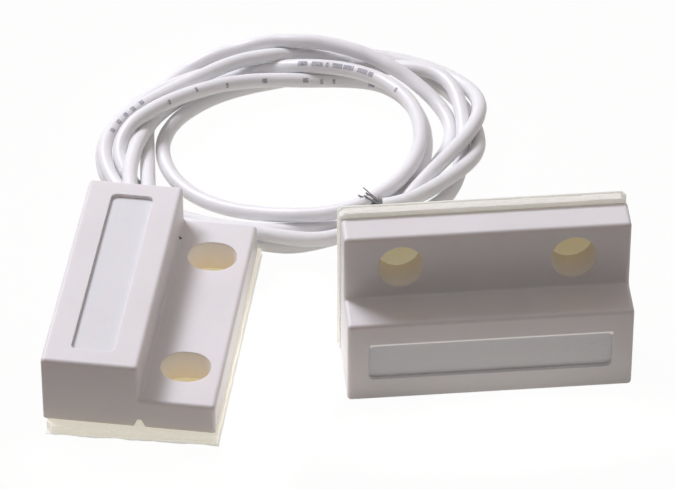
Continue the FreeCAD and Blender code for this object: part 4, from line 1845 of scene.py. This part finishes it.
@dataclass(frozen=True)
class Floor:
    """The pale floor, which is white to the camera and glows a little near the object.

    Attributes:
        grey: the colour by which it lights the object.
        glow: the colour of its pools.
        pools: where it throws light back up.
        white: how bright the camera sees it.
        white_share: how much of that white hides its shadows.
        half: half its size, in metres.
    """

    grey: Colour
    glow: Colour
    pools: tuple[Pool, ...]
    white: float = 1.02
    white_share: float = 0.94
    half: float = 3.0

    def material(self) -> bpy.types.Material:
        """Make its material.

        Returns:
            The material.
        """
        material = bpy.data.materials.new("pale_floor")
        material.use_nodes = True
        graph = Graph(material.node_tree)
        place = graph.add("TexCoord").outputs["Object"]
        strength: Value = 0.0
        for pool in self.pools:
            strength = graph.maths("ADD", pool.glow(graph, place), strength)
        diffuse = graph.add("BsdfDiffuse", None, Color=(*self.grey, 1.0))
        glow = graph.add("Emission", None, Color=(*self.glow, 1.0), Strength=strength)
        lit = graph.add("AddShader", None, _0=diffuse.outputs[0], _1=glow.outputs[0])
        white = graph.add("Emission", None, Color=(*WHITE, 1.0), Strength=self.white)
        share = graph.times(seen_directly(graph), self.white_share)
        both = graph.add("MixShader", None, _0=share, _1=lit.outputs[0], _2=white.outputs[0])
        graph.add("OutputMaterial", None, Surface=both.outputs[0])
        return material

    def build(self) -> None:
        """Lay the floor and leave it out of the object."""
        mesh = bmesh.new()
        bmesh.ops.create_grid(mesh, x_segments=1, y_segments=1, size=self.half)
        floor = new_piece("floor", mesh, smooth=False, closed=False)
        paint(floor, self.material())


@dataclass(frozen=True)
class Surround:
    """The warm dim surround, which is white to the camera.

    Attributes:
        colour: the colour of its light.
        front: its strength low in front.
        top: its strength overhead and behind.
        top_way: where it is strongest.
        edge: from the front's to the top's strength, along that way.
    """

    colour: Colour = (1.0, 0.90, 0.84)
    front: float = 0.06
    top: float = 0.395
    top_way: Point = (0.0, 0.45, 0.89)
    edge: Pair = (-0.30, 0.85)

    def build(self) -> None:
        """Make the world."""
        world = bpy.data.worlds.new("surround")
        world.use_nodes = True
        graph = Graph(world.node_tree)
        way = graph.add("TexCoord").outputs["Generated"]
        lean = graph.measure("DOT_PRODUCT", way, self.top_way)
        strength = graph.remap(lean, self.edge, (self.front, self.top))
        dim = graph.add("Background", None, Color=(*self.colour, 1.0), Strength=strength)
        white = graph.add("Background", None, Color=(*WHITE, 1.0), Strength=1.0)
        both = graph.add("MixShader", None, _0=seen_directly(graph), _1=dim.outputs[0], _2=white.outputs[0])
        graph.add("OutputWorld", None, Surface=both.outputs[0])
        bpy.context.scene.world = world


@dataclass(frozen=True)
class KeyLight:
    """The soft key light from behind on the left.

    Attributes:
        colour: its colour.
        watts: its power.
        way: where it shines.
        target: what it is aimed at, in metres.
        distance: how far off it is, in metres.
        size: its width and height, in metres.
    """

    colour: Colour = (0.92, 0.91, 1.0)
    watts: float = 2.15
    way: Point = (0.71, -0.58, -1.0)
    target: Point = (0.015, 0.012, 0.006)
    distance: float = 0.5
    size: Pair = (0.22, 0.16)

    def build(self) -> None:
        """Hang the light."""
        data = bpy.data.lights.new("key", "AREA")
        data.shape = "RECTANGLE"
        data.size, data.size_y = self.size
        data.energy = self.watts
        data.color = self.colour
        key = bpy.data.objects.new("key", data)
        way = Vector(self.way).normalized()
        key.location = Vector(self.target) - way * self.distance
        key.rotation_mode = "QUATERNION"
        key.rotation_quaternion = way.to_track_quat("-Z", "Y")
        bpy.context.scene.collection.objects.link(key)


FLOOR = Floor(
    grey=(0.38, 0.35, 0.325),
    glow=(1.0, 0.97, 0.92),
    pools=(
        Pool((16.0, 17.0), (44.0, 37.0), 0.0, 0.17),  # round everything
        Pool((12.8, -4.0), (4.6, 12.5), 0.0, 1.30),  # beside the switch half's flange
        Pool((1.0, -19.0), (13.0, 5.0), 0.0, 0.31),  # before the switch half
        Pool((36.5, -8.6), (18.5, 5.0), 12.7, 0.58),  # before the magnet half
        Pool((9.5, 31.5), (19.0, 15.0), -31.0, 0.22),  # inside the coil
    ),
)


def main() -> None:
    """Build the object and its stage."""
    logging.basicConfig(level=logging.INFO)
    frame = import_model()
    groups = SharedGroups(life=SurfaceLife().build(), zones=CaseZones().build())
    materials = {look: finish.make(groups) for look, finish in FINISHES.items()}
    for assembly in (SWITCH_HALF, MAGNET_HALF, COIL):
        assembly.build(frame["nodes"], materials)
    for part in (Camera(), FLOOR, Surround(), KeyLight()):
        part.build()
    bpy.context.scene.view_settings.view_transform = "Standard"


if __name__ == "__main__":
    main()
